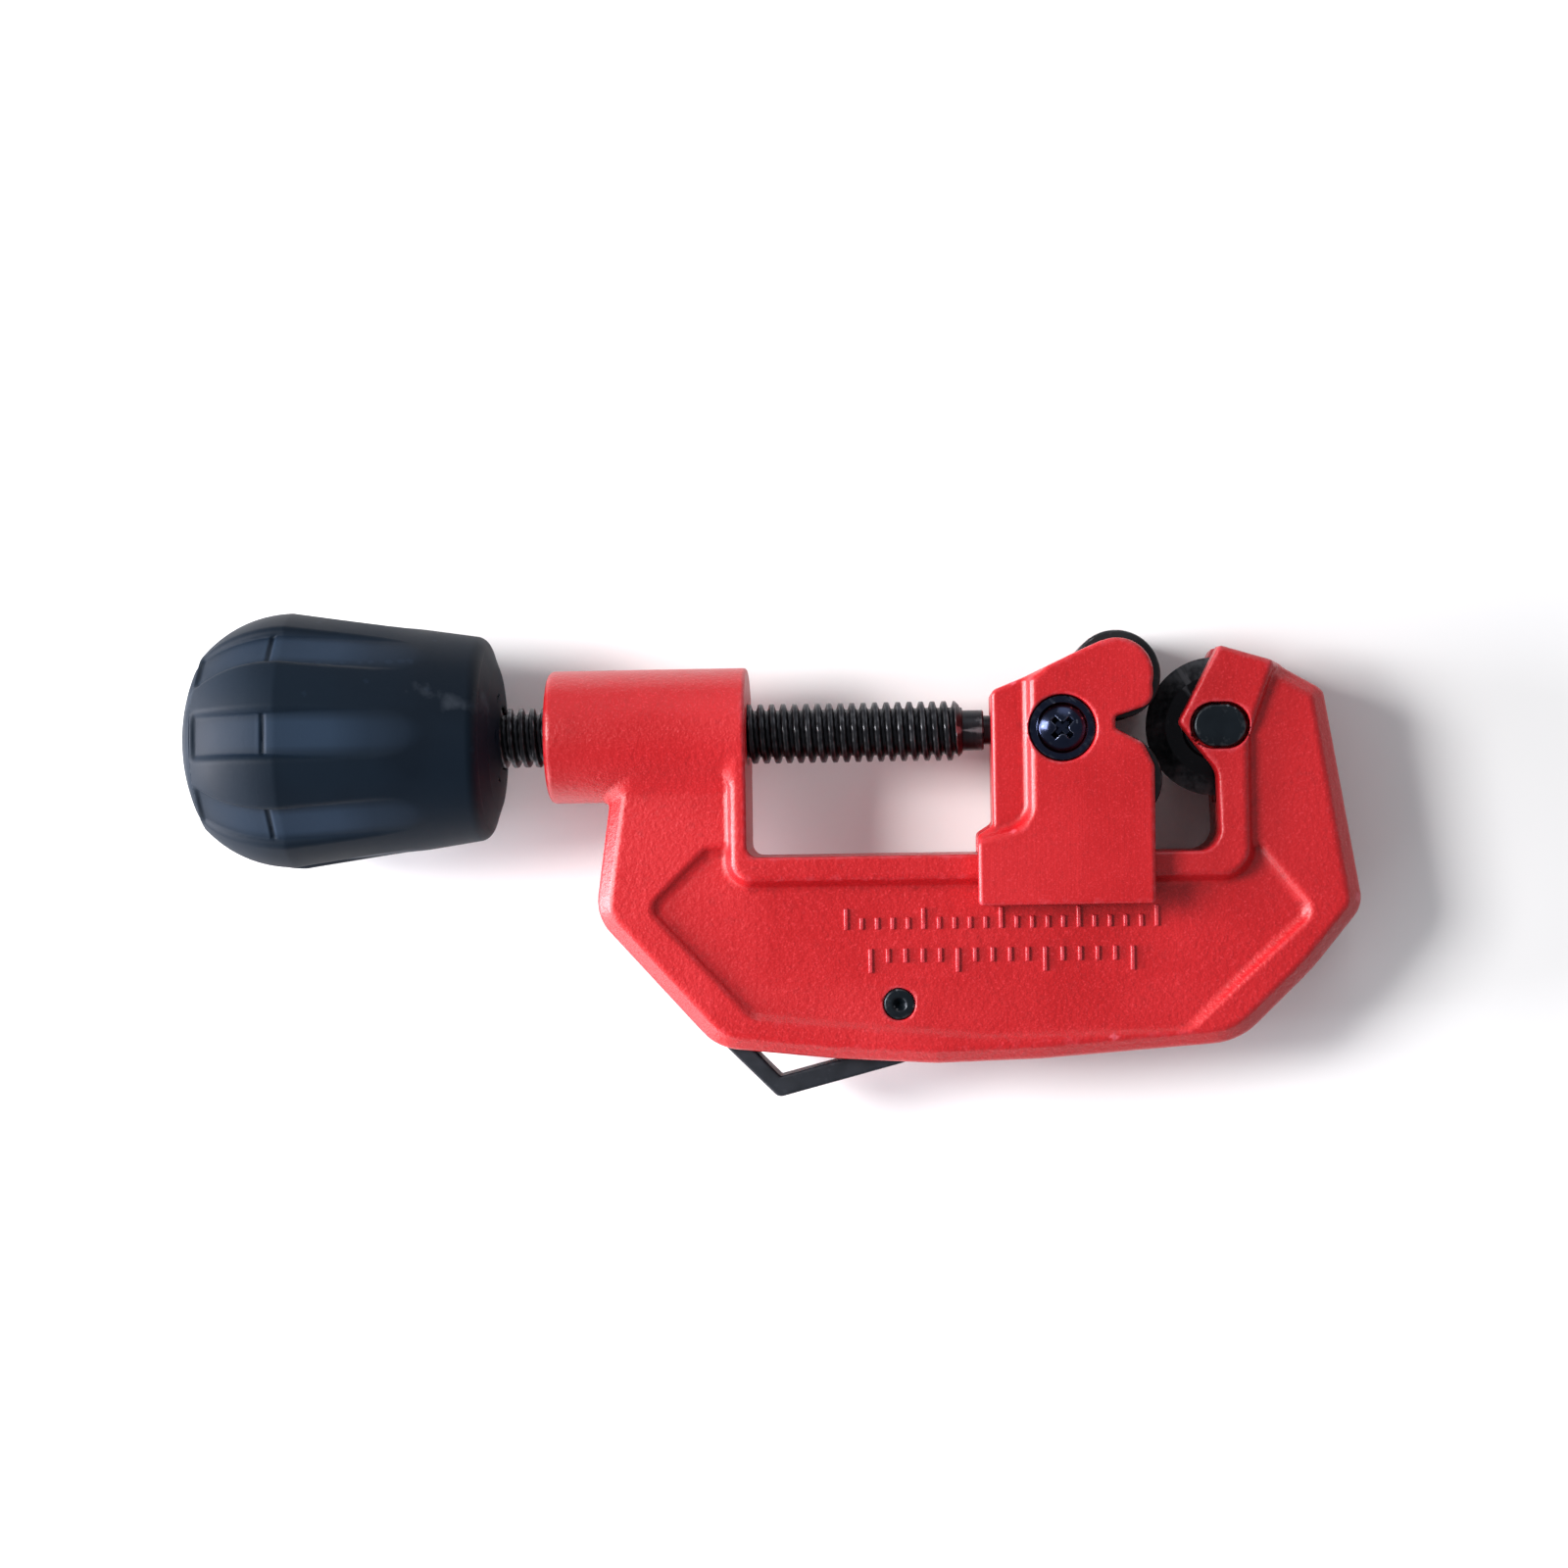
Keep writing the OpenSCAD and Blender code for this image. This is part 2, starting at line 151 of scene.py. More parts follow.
def slab(value: Array, low: float, high: float) -> Array:
    """Distance to the slab between two parallel planes.

    Args:
        value: the coordinate across the slab.
        low: first plane.
        high: second plane.

    Returns:
        Distance to the slab, negative between the planes.
    """
    return np.abs(value - (low + high) / 2) - (high - low) / 2


def rod(across: Array, up: Array, radius: float, along: Array, low: float, high: float) -> Array:
    """Distance to a round rod with sharp ends.

    Args:
        across: first coordinate across the rod, from its axis.
        up: second coordinate across the rod, from its axis.
        radius: radius of the rod.
        along: coordinate along the rod.
        low: one end.
        high: other end.

    Returns:
        Distance to the rod.
    """
    return np.maximum(np.hypot(across, up) - radius, slab(along, low, high))


def arc(centre: Corner, radius: float, start: float, end: float, steps: int = 24) -> Array:
    """Points of a circular arc.

    Args:
        centre: centre of the arc.
        radius: its radius.
        start: first angle in degrees.
        end: last angle in degrees.
        steps: number of chords.

    Returns:
        The points, one to a row.
    """
    angle = np.radians(np.linspace(start, end, steps + 1))
    return np.array(centre) + radius * np.column_stack([np.cos(angle), np.sin(angle)])


def rounded_corner(before: Array, corner: Array, after: Array, radius: float) -> Array:
    """Points of the round that replaces one corner of an outline.

    Args:
        before: the corner before it.
        corner: the corner itself.
        after: the corner after it.
        radius: radius of the round.

    Returns:
        The points of the round, from the first tangent point to the second.
    """
    chord_angle = 6.0
    u = (before - corner) / np.linalg.norm(before - corner)
    v = (after - corner) / np.linalg.norm(after - corner)
    half = math.acos(float(np.clip(u @ v, -1, 1))) / 2
    middle = corner + (u + v) / np.linalg.norm(u + v) * radius / math.sin(half)
    first = corner + u * radius / math.tan(half) - middle
    last = corner + v * radius / math.tan(half) - middle
    turn = math.atan2(first[0] * last[1] - first[1] * last[0], float(first @ last))
    steps = max(2, math.ceil(abs(math.degrees(turn)) / chord_angle))
    angle = turn * np.linspace(0, 1, steps + 1)
    x = first[0] * np.cos(angle) - first[1] * np.sin(angle)
    y = first[0] * np.sin(angle) + first[1] * np.cos(angle)
    return middle + np.column_stack([x, y])


@dataclass(frozen=True)
class Outline:
    """A closed flat outline, in millimetres."""

    points: Array

    @classmethod
    def through(cls, *corners: Corner) -> "Outline":
        """Builds an outline from its corners.

        Args:
            corners: (x, y), or (x, y, radius) where the corner is rounded.

        Returns:
            The outline.
        """
        flat = [np.array(c[:2], float) for c in corners]
        pieces = []
        for i, corner in enumerate(corners):
            if len(corner) > 2:
                pieces.append(rounded_corner(flat[i - 1], flat[i], flat[(i + 1) % len(flat)], corner[2]))
            else:
                pieces.append(flat[i][None])
        return cls(np.vstack(pieces))

    def distance(self, x: Array, y: Array) -> Array:
        """Distance from points to the outline.

        Args:
            x: first coordinate of the points.
            y: second coordinate of the points.

        Returns:
            The distances, negative inside.
        """
        shape = np.broadcast(x, y).shape
        nearest = np.full(shape, np.inf)
        inside = np.zeros(shape, bool)
        for (ax, ay), (bx, by) in zip(self.points, np.roll(self.points, -1, axis=0)):
            ex, ey = bx - ax, by - ay
            length = ex * ex + ey * ey
            if length == 0:
                continue
            px, py = x - ax, y - ay
            t = np.clip((px * ex + py * ey) / length, 0, 1)
            nearest = np.minimum(nearest, (px - ex * t) ** 2 + (py - ey * t) ** 2)
            if ey != 0:
                inside ^= ((ay > y) != (by > y)) & (px < ex * py / ey)
        return np.where(inside, -1, 1) * np.sqrt(nearest)


# ---- meshes ----------------------------------------------------------------------------------


@dataclass
class Shell:
    """A mesh in millimetres, before it becomes a Blender object."""

    points: Array
    faces: list
    normals: Optional[Array] = None

    @classmethod
    def skin(cls, field: Field, low: Sequence[float], high: Sequence[float], cell: float) -> "Shell":
        """Wraps a distance field in a net of quads and settles the net onto the surface.

        Args:
            field: the distance field.
            low: lowest corner of the space that holds the solid.
            high: highest corner of that space.
            cell: size of the net's cells.

        Returns:
            The closed shell, with the field's own normals.
        """
        room_before, room_after = 1.5 * cell, 2.5 * cell
        axes = [np.arange(a - room_before, b + room_after, cell) for a, b in zip(low, high)]
        values = field(*np.meshgrid(*axes, indexing="ij", sparse=True))
        inside = values < 0
        inside[[0, -1]] = inside[:, [0, -1]] = inside[:, :, [0, -1]] = False
        corners = list(product((0, 1), repeat=3))
        windows = [tuple(slice(o, n - 1 + o) for o, n in zip(c, inside.shape)) for c in corners]
        count = sum(inside[window].astype(int) for window in windows)
        mixed = (count > 0) & (count < len(corners))
        cells = np.argwhere(mixed)
        index = np.full(mixed.shape, -1)
        index[mixed] = np.arange(len(cells))
        corner_values = [values[tuple((cells + c).T)] for c in corners]
        total = np.zeros(cells.shape)
        hits = np.zeros(len(cells))
        for a, b in combinations(range(len(corners)), 2):
            step = np.array(corners[b]) - np.array(corners[a])
            if np.abs(step).sum() != 1:
                continue
            crossing = (corner_values[a] < 0) != (corner_values[b] < 0)
            drop = np.where(crossing, corner_values[a] - corner_values[b], 1)
            place = np.array(corners[a]) + (corner_values[a] / drop)[:, None] * step
            total += np.where(crossing[:, None], place, 0)
            hits += crossing
        points = (cells + total / hits[:, None]) * cell + np.array([a[0] for a in axes])
        faces = np.vstack([cls._faces_across(inside, index, axis) for axis in range(3)])
        points = cls._settled(field, points, cell)
        normal_step, least_length = cell / 10, 1e-9
        _, slope = cls._slope(field, points, normal_step)
        length = np.maximum(np.linalg.norm(slope, axis=1), least_length)
        return cls(points, faces.tolist(), slope / length[:, None])

    @staticmethod
    def _faces_across(inside: Array, index: Array, axis: int) -> Array:
        """Quads of the net that cross the grid lines of one axis.

        Args:
            inside: which grid points are inside the solid.
            index: the net's point in each cell, or -1.
            axis: the axis of the grid lines.

        Returns:
            Four point numbers to a row, facing outwards.
        """
        lower = np.take(inside, range(inside.shape[axis] - 1), axis)
        upper = np.take(inside, range(1, inside.shape[axis]), axis)
        edges = np.argwhere(lower != upper)
        steps = np.eye(3, dtype=int)
        u, v = steps[(axis + 1) % 3], steps[(axis + 2) % 3]
        ring = [index[tuple((edges + offset).T)] for offset in (-u - v, -v, 0 * u, -u)]
        quads = np.column_stack(ring)
        facing = lower[tuple(edges.T)]
        return np.where(facing[:, None], quads, quads[:, ::-1])

    @staticmethod
    def _slope(field: Field, points: Array, step: float) -> tuple[Array, Array]:
        """Distance and slope of a field at points.

        Args:
            field: the distance field.
            points: the points, one to a row.
            step: how far apart the samples are.

        Returns:
            The distances, and the slopes, one to a row.
        """
        x, y, z = points.T
        value = field(x, y, z)
        slope = np.column_stack([
            field(x + step, y, z) - field(x - step, y, z),
            field(x, y + step, z) - field(x, y - step, z),
            field(x, y, z + step) - field(x, y, z - step)]) / (2 * step)
        return value, slope

    @classmethod
    def _settled(cls, field: Field, points: Array, cell: float) -> Array:
        """Moves the net's points onto the surface, each by less than a cell.

        Args:
            field: the distance field.
            points: the points, one to a row.
            cell: size of the net's cells.

        Returns:
            The moved points.
        """
        rounds, sample, least_steepness, reach = 2, cell / 20, 0.25, 0.6 * cell
        start = points
        for _ in range(rounds):
            value, slope = cls._slope(field, points, sample)
            steepness = np.maximum((slope**2).sum(1), least_steepness)
            points = points - (value / steepness)[:, None] * slope
            points = start + np.clip(points - start, -reach, reach)
        return points

    @classmethod
    def turned(cls, profile: Outline, along: int, centre: Sequence[float], segments: int = 96) -> "Shell":
        """Sweeps a profile round an axis.

        Args:
            profile: closed outline of (place along the axis, radius).
            along: number of the axis, 0 for X or 2 for Z.
            centre: a point on the axis.
            segments: number of steps round.

        Returns:
            The shell.
        """
        angle = np.linspace(0, 2 * math.pi, segments, endpoint=False)
        place, radius = profile.points.T
        count = len(place)
        points = np.zeros((segments, count, 3))
        points[..., along] = place
        points[..., (along + 1) % 3] = radius * np.cos(angle)[:, None]
        points[..., (along + 2) % 3] = radius * np.sin(angle)[:, None]
        offset = np.array(centre, float)
        offset[along] = 0
        on_axis = radius < 1e-6
        faces = []
        for i, j in product(range(segments), range(count)):
            i2, j2 = (i + 1) % segments, (j + 1) % count
            if on_axis[j] and on_axis[j2]:
                continue
            faces.append([i * count + j, i * count + j2, i2 * count + j2, i2 * count + j])
        return cls(points.reshape(-1, 3) + offset, faces)

    def to_object(self, name: str, crease: float = 35) -> bpy.types.Object:
        """Makes a Blender mesh object of the shell, in metres.

        Args:
            name: name of the object.
            crease: edges that turn by more than this many degrees stay sharp.

        Returns:
            The object, linked to the scene.
        """
        mesh = bpy.data.meshes.new(name)
        mesh.from_pydata((self.points * MM).tolist(), [], self.faces)
        if self.normals is None:
            self._weld(mesh)
            mesh.shade_smooth()
            mesh.set_sharp_from_angle(angle=math.radians(crease))
        else:
            mesh.shade_smooth()
            mesh.normals_split_custom_set_from_vertices(self.normals.tolist())
        piece = bpy.data.objects.new(name, mesh)
        bpy.context.scene.collection.objects.link(piece)
        return piece

    @staticmethod
    def _weld(mesh: bpy.types.Mesh) -> None:
        """Welds points that lie together and turns all faces outwards.

        Args:
            mesh: the mesh to clean.
        """
        gap = 1e-7
        work = bmesh.new()
        work.from_mesh(mesh)
        bmesh.ops.remove_doubles(work, verts=work.verts, dist=gap)
        bmesh.ops.dissolve_degenerate(work, edges=work.edges, dist=gap)
        bmesh.ops.recalc_face_normals(work, faces=work.faces)
        work.to_mesh(mesh)
        work.free()


# ---- shader effects --------------------------------------------------------------------------


class Wires:
    """Adds nodes to one node tree and joins their sockets."""

    def __init__(self, tree: bpy.types.NodeTree) -> None:
        """Starts with a tree.

        Args:
            tree: the tree that the nodes go into.
        """
        self.tree = tree

    def node(self, kind: str, inputs: Optional[dict] = None, **settings: object) -> bpy.types.Node:
        """Adds a node.

        Args:
            kind: the node's type name.
            inputs: a value, or the socket to link, for each input by name or number.
            settings: the node's own settings.

        Returns:
            The node.
        """
        node = self.tree.nodes.new(kind)
        for key, value in settings.items():
            setattr(node, key, value)
        for key, value in (inputs or {}).items():
            if isinstance(value, bpy.types.NodeSocket):
                self.tree.links.new(value, node.inputs[key])
            else:
                node.inputs[key].default_value = value
        return node

    def noise(
            self, place: bpy.types.NodeSocket, scale: object, detail: float = 2.0) -> bpy.types.NodeSocket:
        """Adds a noise texture.

        Args:
            place: the coordinates.
            scale: a number, or a socket that gives it.
            detail: number of finer layers.

        Returns:
            The noise value, round 0.5.
        """
        inputs = {"Vector": place, "Scale": scale, "Detail": detail}
        return self.node("ShaderNodeTexNoise", inputs).outputs["Fac"]

    def sum(self, operation: str, a: object, b: object) -> bpy.types.NodeSocket:
        """Adds a math node of two values.

        Args:
            operation: the node's operation.
            a: first value or socket.
            b: second value or socket.

        Returns:
            The result.
        """
        return self.node("ShaderNodeMath", {0: a, 1: b}, operation=operation).outputs[0]

    def stretch(self, value: object, old: tuple, new: tuple) -> bpy.types.NodeSocket:
        """Maps one range onto another and clamps the result.

        Args:
            value: the value's socket.
            old: low and high of the range that comes in.
            new: low and high of the range that goes out.

        Returns:
            The mapped value.
        """
        ends = {"Value": value, "From Min": old[0], "From Max": old[1], "To Min": new[0], "To Max": new[1]}
        return self.node("ShaderNodeMapRange", ends, clamp=True).outputs["Result"]

    def blend(self, factor: object, a: object, b: object) -> bpy.types.NodeSocket:
        """Mixes two colours.

        Args:
            factor: share of the second colour.
            a: first colour or socket.
            b: second colour or socket.

        Returns:
            The mixed colour.
        """
        colours = {i: (*c, 1.0) if isinstance(c, tuple) else c for i, c in ((6, a), (7, b))}
        return self.node("ShaderNodeMix", {0: factor, **colours}, data_type="RGBA").outputs[2]


class Effect(Enum):
    """Shader effects that more than one finish uses. The value is the name of the node group."""

    PEEL = "orange_peel"
    # Edge wear, plus a hollow mask that the powder coat uses for painted shade.
    WEAR_AND_SHADE = "edge_wear_and_hollow_shade"
    GRAIN = "tool_marks"


def new_group(effect: Effect, inputs: dict[str, object], outputs: Sequence[str]) -> tuple:
    """Starts a shader node group.

    Args:
        effect: the effect that the group makes.
        inputs: default value of each input; None makes a vector input.
        outputs: names of the float outputs.

    Returns:
        The wires inside the group, its input node and its output node.
    """
    tree = bpy.data.node_groups.new(effect.value, "ShaderNodeTree")
    for label, default in inputs.items():
        kind = "NodeSocketVector" if default is None else "NodeSocketFloat"
        socket = tree.interface.new_socket(label, in_out="INPUT", socket_type=kind)
        if default is not None:
            socket.default_value = default
    for label in outputs:
        tree.interface.new_socket(label, in_out="OUTPUT", socket_type="NodeSocketFloat")
    wires = Wires(tree)
    return wires, wires.node("NodeGroupInput"), wires.node("NodeGroupOutput")


def build_peel() -> bpy.types.NodeTree:
    """Builds the pebbled skin of powder coat and moulded plastic.

    Returns:
        A group that puts out the skin's height, its fleck and a slow cloud.
    """
    wires, given, result = new_group(
        Effect.PEEL, {"Place": None, "Scale": 1500.0, "Fine": 0.5}, ["Height", "Fleck", "Cloud"])
    fineness, cloud_scale = 2.6, 70.0
    place = given.outputs["Place"]
    coarse = wires.noise(place, given.outputs["Scale"], 1.0)
    fine_scale = wires.sum("MULTIPLY", given.outputs["Scale"], fineness)
    fine = wires.noise(place, fine_scale, 2.0)
    height = wires.sum("ADD", coarse, wires.sum("MULTIPLY", fine, given.outputs["Fine"]))
    wires.tree.links.new(height, result.inputs["Height"])
    wires.tree.links.new(wires.stretch(fine, (0.56, 0.74), (0.0, 1.0)), result.inputs["Fleck"])
    cloud = wires.noise(place, cloud_scale, 3.0)
    wires.tree.links.new(wires.stretch(cloud, (0.35, 0.65), (0.0, 1.0)), result.inputs["Cloud"])
    return wires.tree


def build_wear_and_shade() -> bpy.types.NodeTree:
    """Builds the mask of rubbed edges and the hollow mask that is used for painted shade.

    Returns:
        A group that puts out an edge-wear mask and a hollow mask for painted shade.
    """
    wires, given, result = new_group(
        Effect.WEAR_AND_SHADE, {"Place": None, "Reach": 0.08, "Breakup": 400.0}, ["Edge", "HollowShade"])
    shape = wires.node("ShaderNodeNewGeometry").outputs["Pointiness"]
    patches = wires.noise(given.outputs["Place"], given.outputs["Breakup"], 4.0)
    jitter = wires.stretch(patches, (0.3, 0.7), (-0.5, 0.5))
    shifted = wires.sum("ADD", shape, wires.sum("MULTIPLY", jitter, given.outputs["Reach"]))
    wires.tree.links.new(wires.stretch(shifted, (0.52, 0.62), (0.0, 1.0)), result.inputs["Edge"])
    # Hollow mask: concave places, which the powder coat darkens as painted shade.
    wires.tree.links.new(wires.stretch(shifted, (0.49, 0.40), (0.0, 1.0)), result.inputs["HollowShade"])
    return wires.tree


def build_grain() -> bpy.types.NodeTree:
    """Builds the fine parallel marks that turning, drawing and grinding leave.

    Returns:
        A group that puts out the marks' height and a streak value.
    """
    wires, given, result = new_group(Effect.GRAIN, {"Place": None, "Scale": 1.0}, ["Height", "Streak"])
    broadness, broad_share = 0.23, 0.5
    marks = wires.noise(given.outputs["Place"], given.outputs["Scale"], 3.0)
    broad_scale = wires.sum("MULTIPLY", given.outputs["Scale"], broadness)
    broad = wires.noise(given.outputs["Place"], broad_scale, 2.0)
    height = wires.sum("ADD", marks, wires.sum("MULTIPLY", broad, broad_share))
    wires.tree.links.new(height, result.inputs["Height"])
    wires.tree.links.new(wires.stretch(broad, (0.3, 0.7), (0.0, 1.0)), result.inputs["Streak"])
    return wires.tree


EFFECT_BUILDERS = {Effect.PEEL: build_peel, Effect.WEAR_AND_SHADE: build_wear_and_shade, Effect.GRAIN: build_grain}


def effect_tree(effect: Effect) -> bpy.types.NodeTree:
    """Gives an effect's node group, built the first time it is asked for.

    Args:
        effect: the effect.

    Returns:
        The group's tree.
    """
    return bpy.data.node_groups.get(effect.value) or EFFECT_BUILDERS[effect]()


# ---- finishes --------------------------------------------------------------------------------


class Lay(Enum):
    """Direction of the tool marks. The value is how fast they change along X, Y and Z."""

    ROUND_X = (5200.0, 160.0, 160.0)
    ROUND_Z = (160.0, 160.0, 5200.0)
    ALONG_Y = (3200.0, 90.0, 3200.0)
    TUMBLED = (1500.0, 1500.0, 1500.0)


class Material:
    """A new material with its shader, its coordinates and its wires."""

    def __init__(self, name: str) -> None:
        """Makes an empty material.

        Args:
            name: name of the material.
        """
        self.result = bpy.data.materials.new(name)
        self.result.use_nodes = True
        self.wires = Wires(self.result.node_tree)
        self.shader = self.result.node_tree.nodes["Principled BSDF"]
        self.place = self.wires.node("ShaderNodeTexCoord").outputs["Object"]

    def effect(self, effect: Effect, **values: object) -> bpy.types.Node:
        """Places an effect's group.

        Args:
            effect: the effect.
            values: its inputs, by name.

        Returns:
            The group's node.
        """
        return self.wires.node(
            "ShaderNodeGroup", {"Place": self.place, **values}, node_tree=effect_tree(effect))

    def feed(self, socket: str, value: object) -> None:
        """Sets or links one socket of the shader.

        Args:
            socket: the socket's name.
            value: a constant, a colour or a socket.
        """
        if isinstance(value, bpy.types.NodeSocket):
            self.wires.tree.links.new(value, self.shader.inputs[socket])
        elif isinstance(value, tuple):
            self.shader.inputs[socket].default_value = (*value, 1.0)
        else:
            self.shader.inputs[socket].default_value = value

    def bump(self, height: bpy.types.NodeSocket, strength: float, depth: float) -> None:
        """Feeds a height into the shader's normal.

        Args:
            height: the height's socket.
            strength: how strongly it shows.
            depth: depth of the relief, in millimetres.
        """
        values = {"Height": height, "Strength": strength, "Distance": depth * MM}
        self.feed("Normal", self.wires.node("ShaderNodeBump", values).outputs["Normal"])


@dataclass(frozen=True)
class PowderCoat:
    """Baked powder paint over a zinc casting, with painted shade darkening its hollows."""

    name: str
    colour: Colour = (0.50, 0.0045, 0.009)
    shade: Colour = (0.42, 0.003, 0.006)
    fleck: Colour = (0.72, 0.040, 0.055)
    rubbed: Colour = (0.70, 0.11, 0.15)
    # Dark red laid into hollows: painted shade.
    shade_in_hollows: Colour = (0.12, 0.002, 0.004)
    peel_scale: float = 1500.0
    peel_depth: float = 0.12
    brushed: float = 0.0
    roughness: tuple[float, float] = (0.34, 0.46)
    fleck_share: float = 0.55
    rub: float = 0.55
    # Share of the painted shade in hollows.
    shade_in_hollows_share: float = 0.75
    relief: float = 0.6
    coat: float = 0.12
    coat_roughness: float = 0.3

    def build(self) -> bpy.types.Material:
        """Builds the material.

        Returns:
            The finished material.
        """
        made = Material(self.name)
        wires = made.wires
        peel = made.effect(Effect.PEEL, Scale=self.peel_scale, Fine=0.55).outputs
        wear_and_shade = made.effect(Effect.WEAR_AND_SHADE, Reach=0.05, Breakup=900.0).outputs
        colour = wires.blend(peel["Cloud"], self.shade, self.colour)
        colour = wires.blend(wires.sum("MULTIPLY", peel["Fleck"], self.fleck_share), colour, self.fleck)
        colour = wires.blend(wires.sum("MULTIPLY", wear_and_shade["Edge"], self.rub), colour, self.rubbed)
        # Darkens concave places with painted shade.
        colour = wires.blend(wires.sum("MULTIPLY", wear_and_shade["HollowShade"], self.shade_in_hollows_share), colour, self.shade_in_hollows)
        made.feed("Base Color", colour)
        height = peel["Height"]
        if self.brushed:
            brush = wires.node("ShaderNodeMapping", {"Vector": made.place, "Scale": Lay.ALONG_Y.value})
            grain = made.effect(Effect.GRAIN, Place=brush.outputs["Vector"]).outputs
            height = wires.sum("ADD", height, wires.sum("MULTIPLY", grain["Height"], self.brushed))
        made.feed("Roughness", wires.stretch(peel["Cloud"], (0.0, 1.0), self.roughness))
        made.bump(height, self.relief, self.peel_depth)
        made.feed("Coat Weight", self.coat)
        made.feed("Coat Roughness", self.coat_roughness)
        return made.result


@dataclass(frozen=True)
class MouldedPlastic:
    """Spark-textured moulded plastic, with painted sheen on the knob's finger panels."""

    name: str
    colour: Colour = (0.0026, 0.0085, 0.0175)
    shade: Colour = (0.0020, 0.0062, 0.0130)
    # Lighter colour of the finger panels: painted sheen.
    panel: Colour = (0.0150, 0.0300, 0.0560)
    rubbed: Colour = (0.030, 0.055, 0.100)
    scuff: Colour = (0.08, 0.095, 0.12)
    grain_scale: float = 3400.0
    grain_depth: float = 0.02
    relief: float = 0.35
    roughness: tuple[float, float] = (0.54, 0.64)
    gloss: float = 0.12
    rub: float = 0.08
    scuff_scale: float = 90.0
    scuff_share: float = 0.25

    def build(self) -> bpy.types.Material:
        """Builds the material.

        Returns:
            The finished material.
        """
        made = Material(self.name)
        wires = made.wires
        skin = made.effect(Effect.PEEL, Scale=self.grain_scale, Fine=0.4).outputs
        wear_and_shade = made.effect(Effect.WEAR_AND_SHADE, Reach=0.03, Breakup=500.0).outputs
        colour = wires.blend(skin["Cloud"], self.shade, self.colour)
        # Lightens the finger panels by their marked share: painted sheen, fading as painted shade at the
        # panel edges and the seam.
        panel_sheen = wires.node("ShaderNodeAttribute")
        panel_sheen.attribute_name = PANEL_SHEEN
        colour = wires.blend(panel_sheen.outputs["Fac"], colour, self.panel)
        colour = wires.blend(wires.sum("MULTIPLY", wear_and_shade["Edge"], self.rub), colour, self.rubbed)
        patches = wires.noise(made.place, self.scuff_scale, 6.0)
        scuffs = wires.stretch(patches, (0.66, 0.72), (0.0, self.scuff_share))
        colour = wires.blend(scuffs, colour, self.scuff)
        made.feed("Base Color", colour)
        made.feed("Roughness", wires.stretch(skin["Cloud"], (0.0, 1.0), self.roughness))
        made.bump(skin["Height"], self.relief, self.grain_depth)
        made.feed("Specular IOR Level", self.gloss)
        return made.result


@dataclass(frozen=True)
class Metal:
    """Machined, drawn or plated metal."""

    name: str
    colour: Colour
    shade: Colour
    rubbed: Colour
    lay: Lay = Lay.ROUND_Z
    metallic: float = 1.0
    roughness: tuple[float, float] = (0.22, 0.38)
    mark_depth: float = 0.006
    relief: float = 0.4
    rub: float = 0.6
    stain_scale: float = 350.0
    stain_share: float = 0.6

    def build(self) -> bpy.types.Material:
        """Builds the material.

        Returns:
            The finished material.
        """
        made = Material(self.name)
        wires = made.wires
        tooled = wires.node("ShaderNodeMapping", {"Vector": made.place, "Scale": self.lay.value})
        grain = made.effect(Effect.GRAIN, Place=tooled.outputs["Vector"]).outputs
        wear_and_shade = made.effect(Effect.WEAR_AND_SHADE, Reach=0.06, Breakup=1200.0).outputs
        colour = wires.blend(grain["Streak"], self.shade, self.colour)
        patches = wires.noise(made.place, self.stain_scale, 3.0)
        stain = wires.stretch(patches, (0.45, 0.75), (0.0, self.stain_share))
        colour = wires.blend(stain, colour, self.shade)
        colour = wires.blend(wires.sum("MULTIPLY", wear_and_shade["Edge"], self.rub), colour, self.rubbed)
        made.feed("Base Color", colour)
        made.feed("Metallic", self.metallic)
        made.feed("Roughness", wires.stretch(grain["Streak"], (0.0, 1.0), self.roughness))
        made.bump(grain["Height"], self.relief, self.mark_depth)
        return made.result


FINISHES = {
    "frame_paint": PowderCoat("red_powder_coat"),
    "slide_paint": PowderCoat("red_brushed_coat", peel_scale=1900.0, peel_depth=0.05, brushed=0.6),
    "blued_screw": Metal(
        "blued_steel", (0.035, 0.045, 0.085), (0.018, 0.022, 0.045), (0.30, 0.33, 0.42),
        lay=Lay.TUMBLED, roughness=(0.14, 0.26), mark_depth=0.003),
    "bright_steel": Metal("bright_steel", (0.60, 0.60, 0.61), (0.42, 0.42, 0.43), (0.80, 0.80, 0.80)),
    "roller_black": Metal(
        "phosphated_steel", (0.020, 0.021, 0.024), (0.012, 0.012, 0.014), (0.16, 0.16, 0.17),
        metallic=0.5, roughness=(0.38, 0.52)),
    "black_oxide": Metal(
        "black_oxide_steel", (0.030, 0.031, 0.036), (0.014, 0.014, 0.017), (0.30, 0.30, 0.32),
        lay=Lay.ROUND_X, metallic=0.8, roughness=(0.28, 0.44)),
    "knob_plastic": MouldedPlastic("navy_plastic"),
    "insert_brass": Metal(
        "brass", (0.72, 0.52, 0.24), (0.55, 0.38, 0.16), (0.88, 0.70, 0.40), lay=Lay.ROUND_X),
    "wheel_steel": Metal(
        "tool_steel", (0.016, 0.016, 0.019), (0.007, 0.007, 0.009), (0.30, 0.30, 0.32),
        metallic=0.8, roughness=(0.24, 0.38), rub=0.25),
    "black_pin": Metal(
        "blackened_pin", (0.006, 0.012, 0.018), (0.003, 0.006, 0.010), (0.20, 0.22, 0.24),
        lay=Lay.TUMBLED, metallic=0.5, roughness=(0.25, 0.38)),
    "spring_steel": Metal("spring_steel", (0.24, 0.24, 0.25), (0.14, 0.14, 0.15), (0.55, 0.55, 0.56)),
    "reamer_steel": Metal(
        "slate_steel", (0.009, 0.012, 0.020), (0.005, 0.007, 0.011), (0.07, 0.08, 0.10),
        lay=Lay.TUMBLED, metallic=0.2, roughness=(0.42, 0.58)),
}
# Finish of each material slot.
"""Finish of each of the record's material slots."""


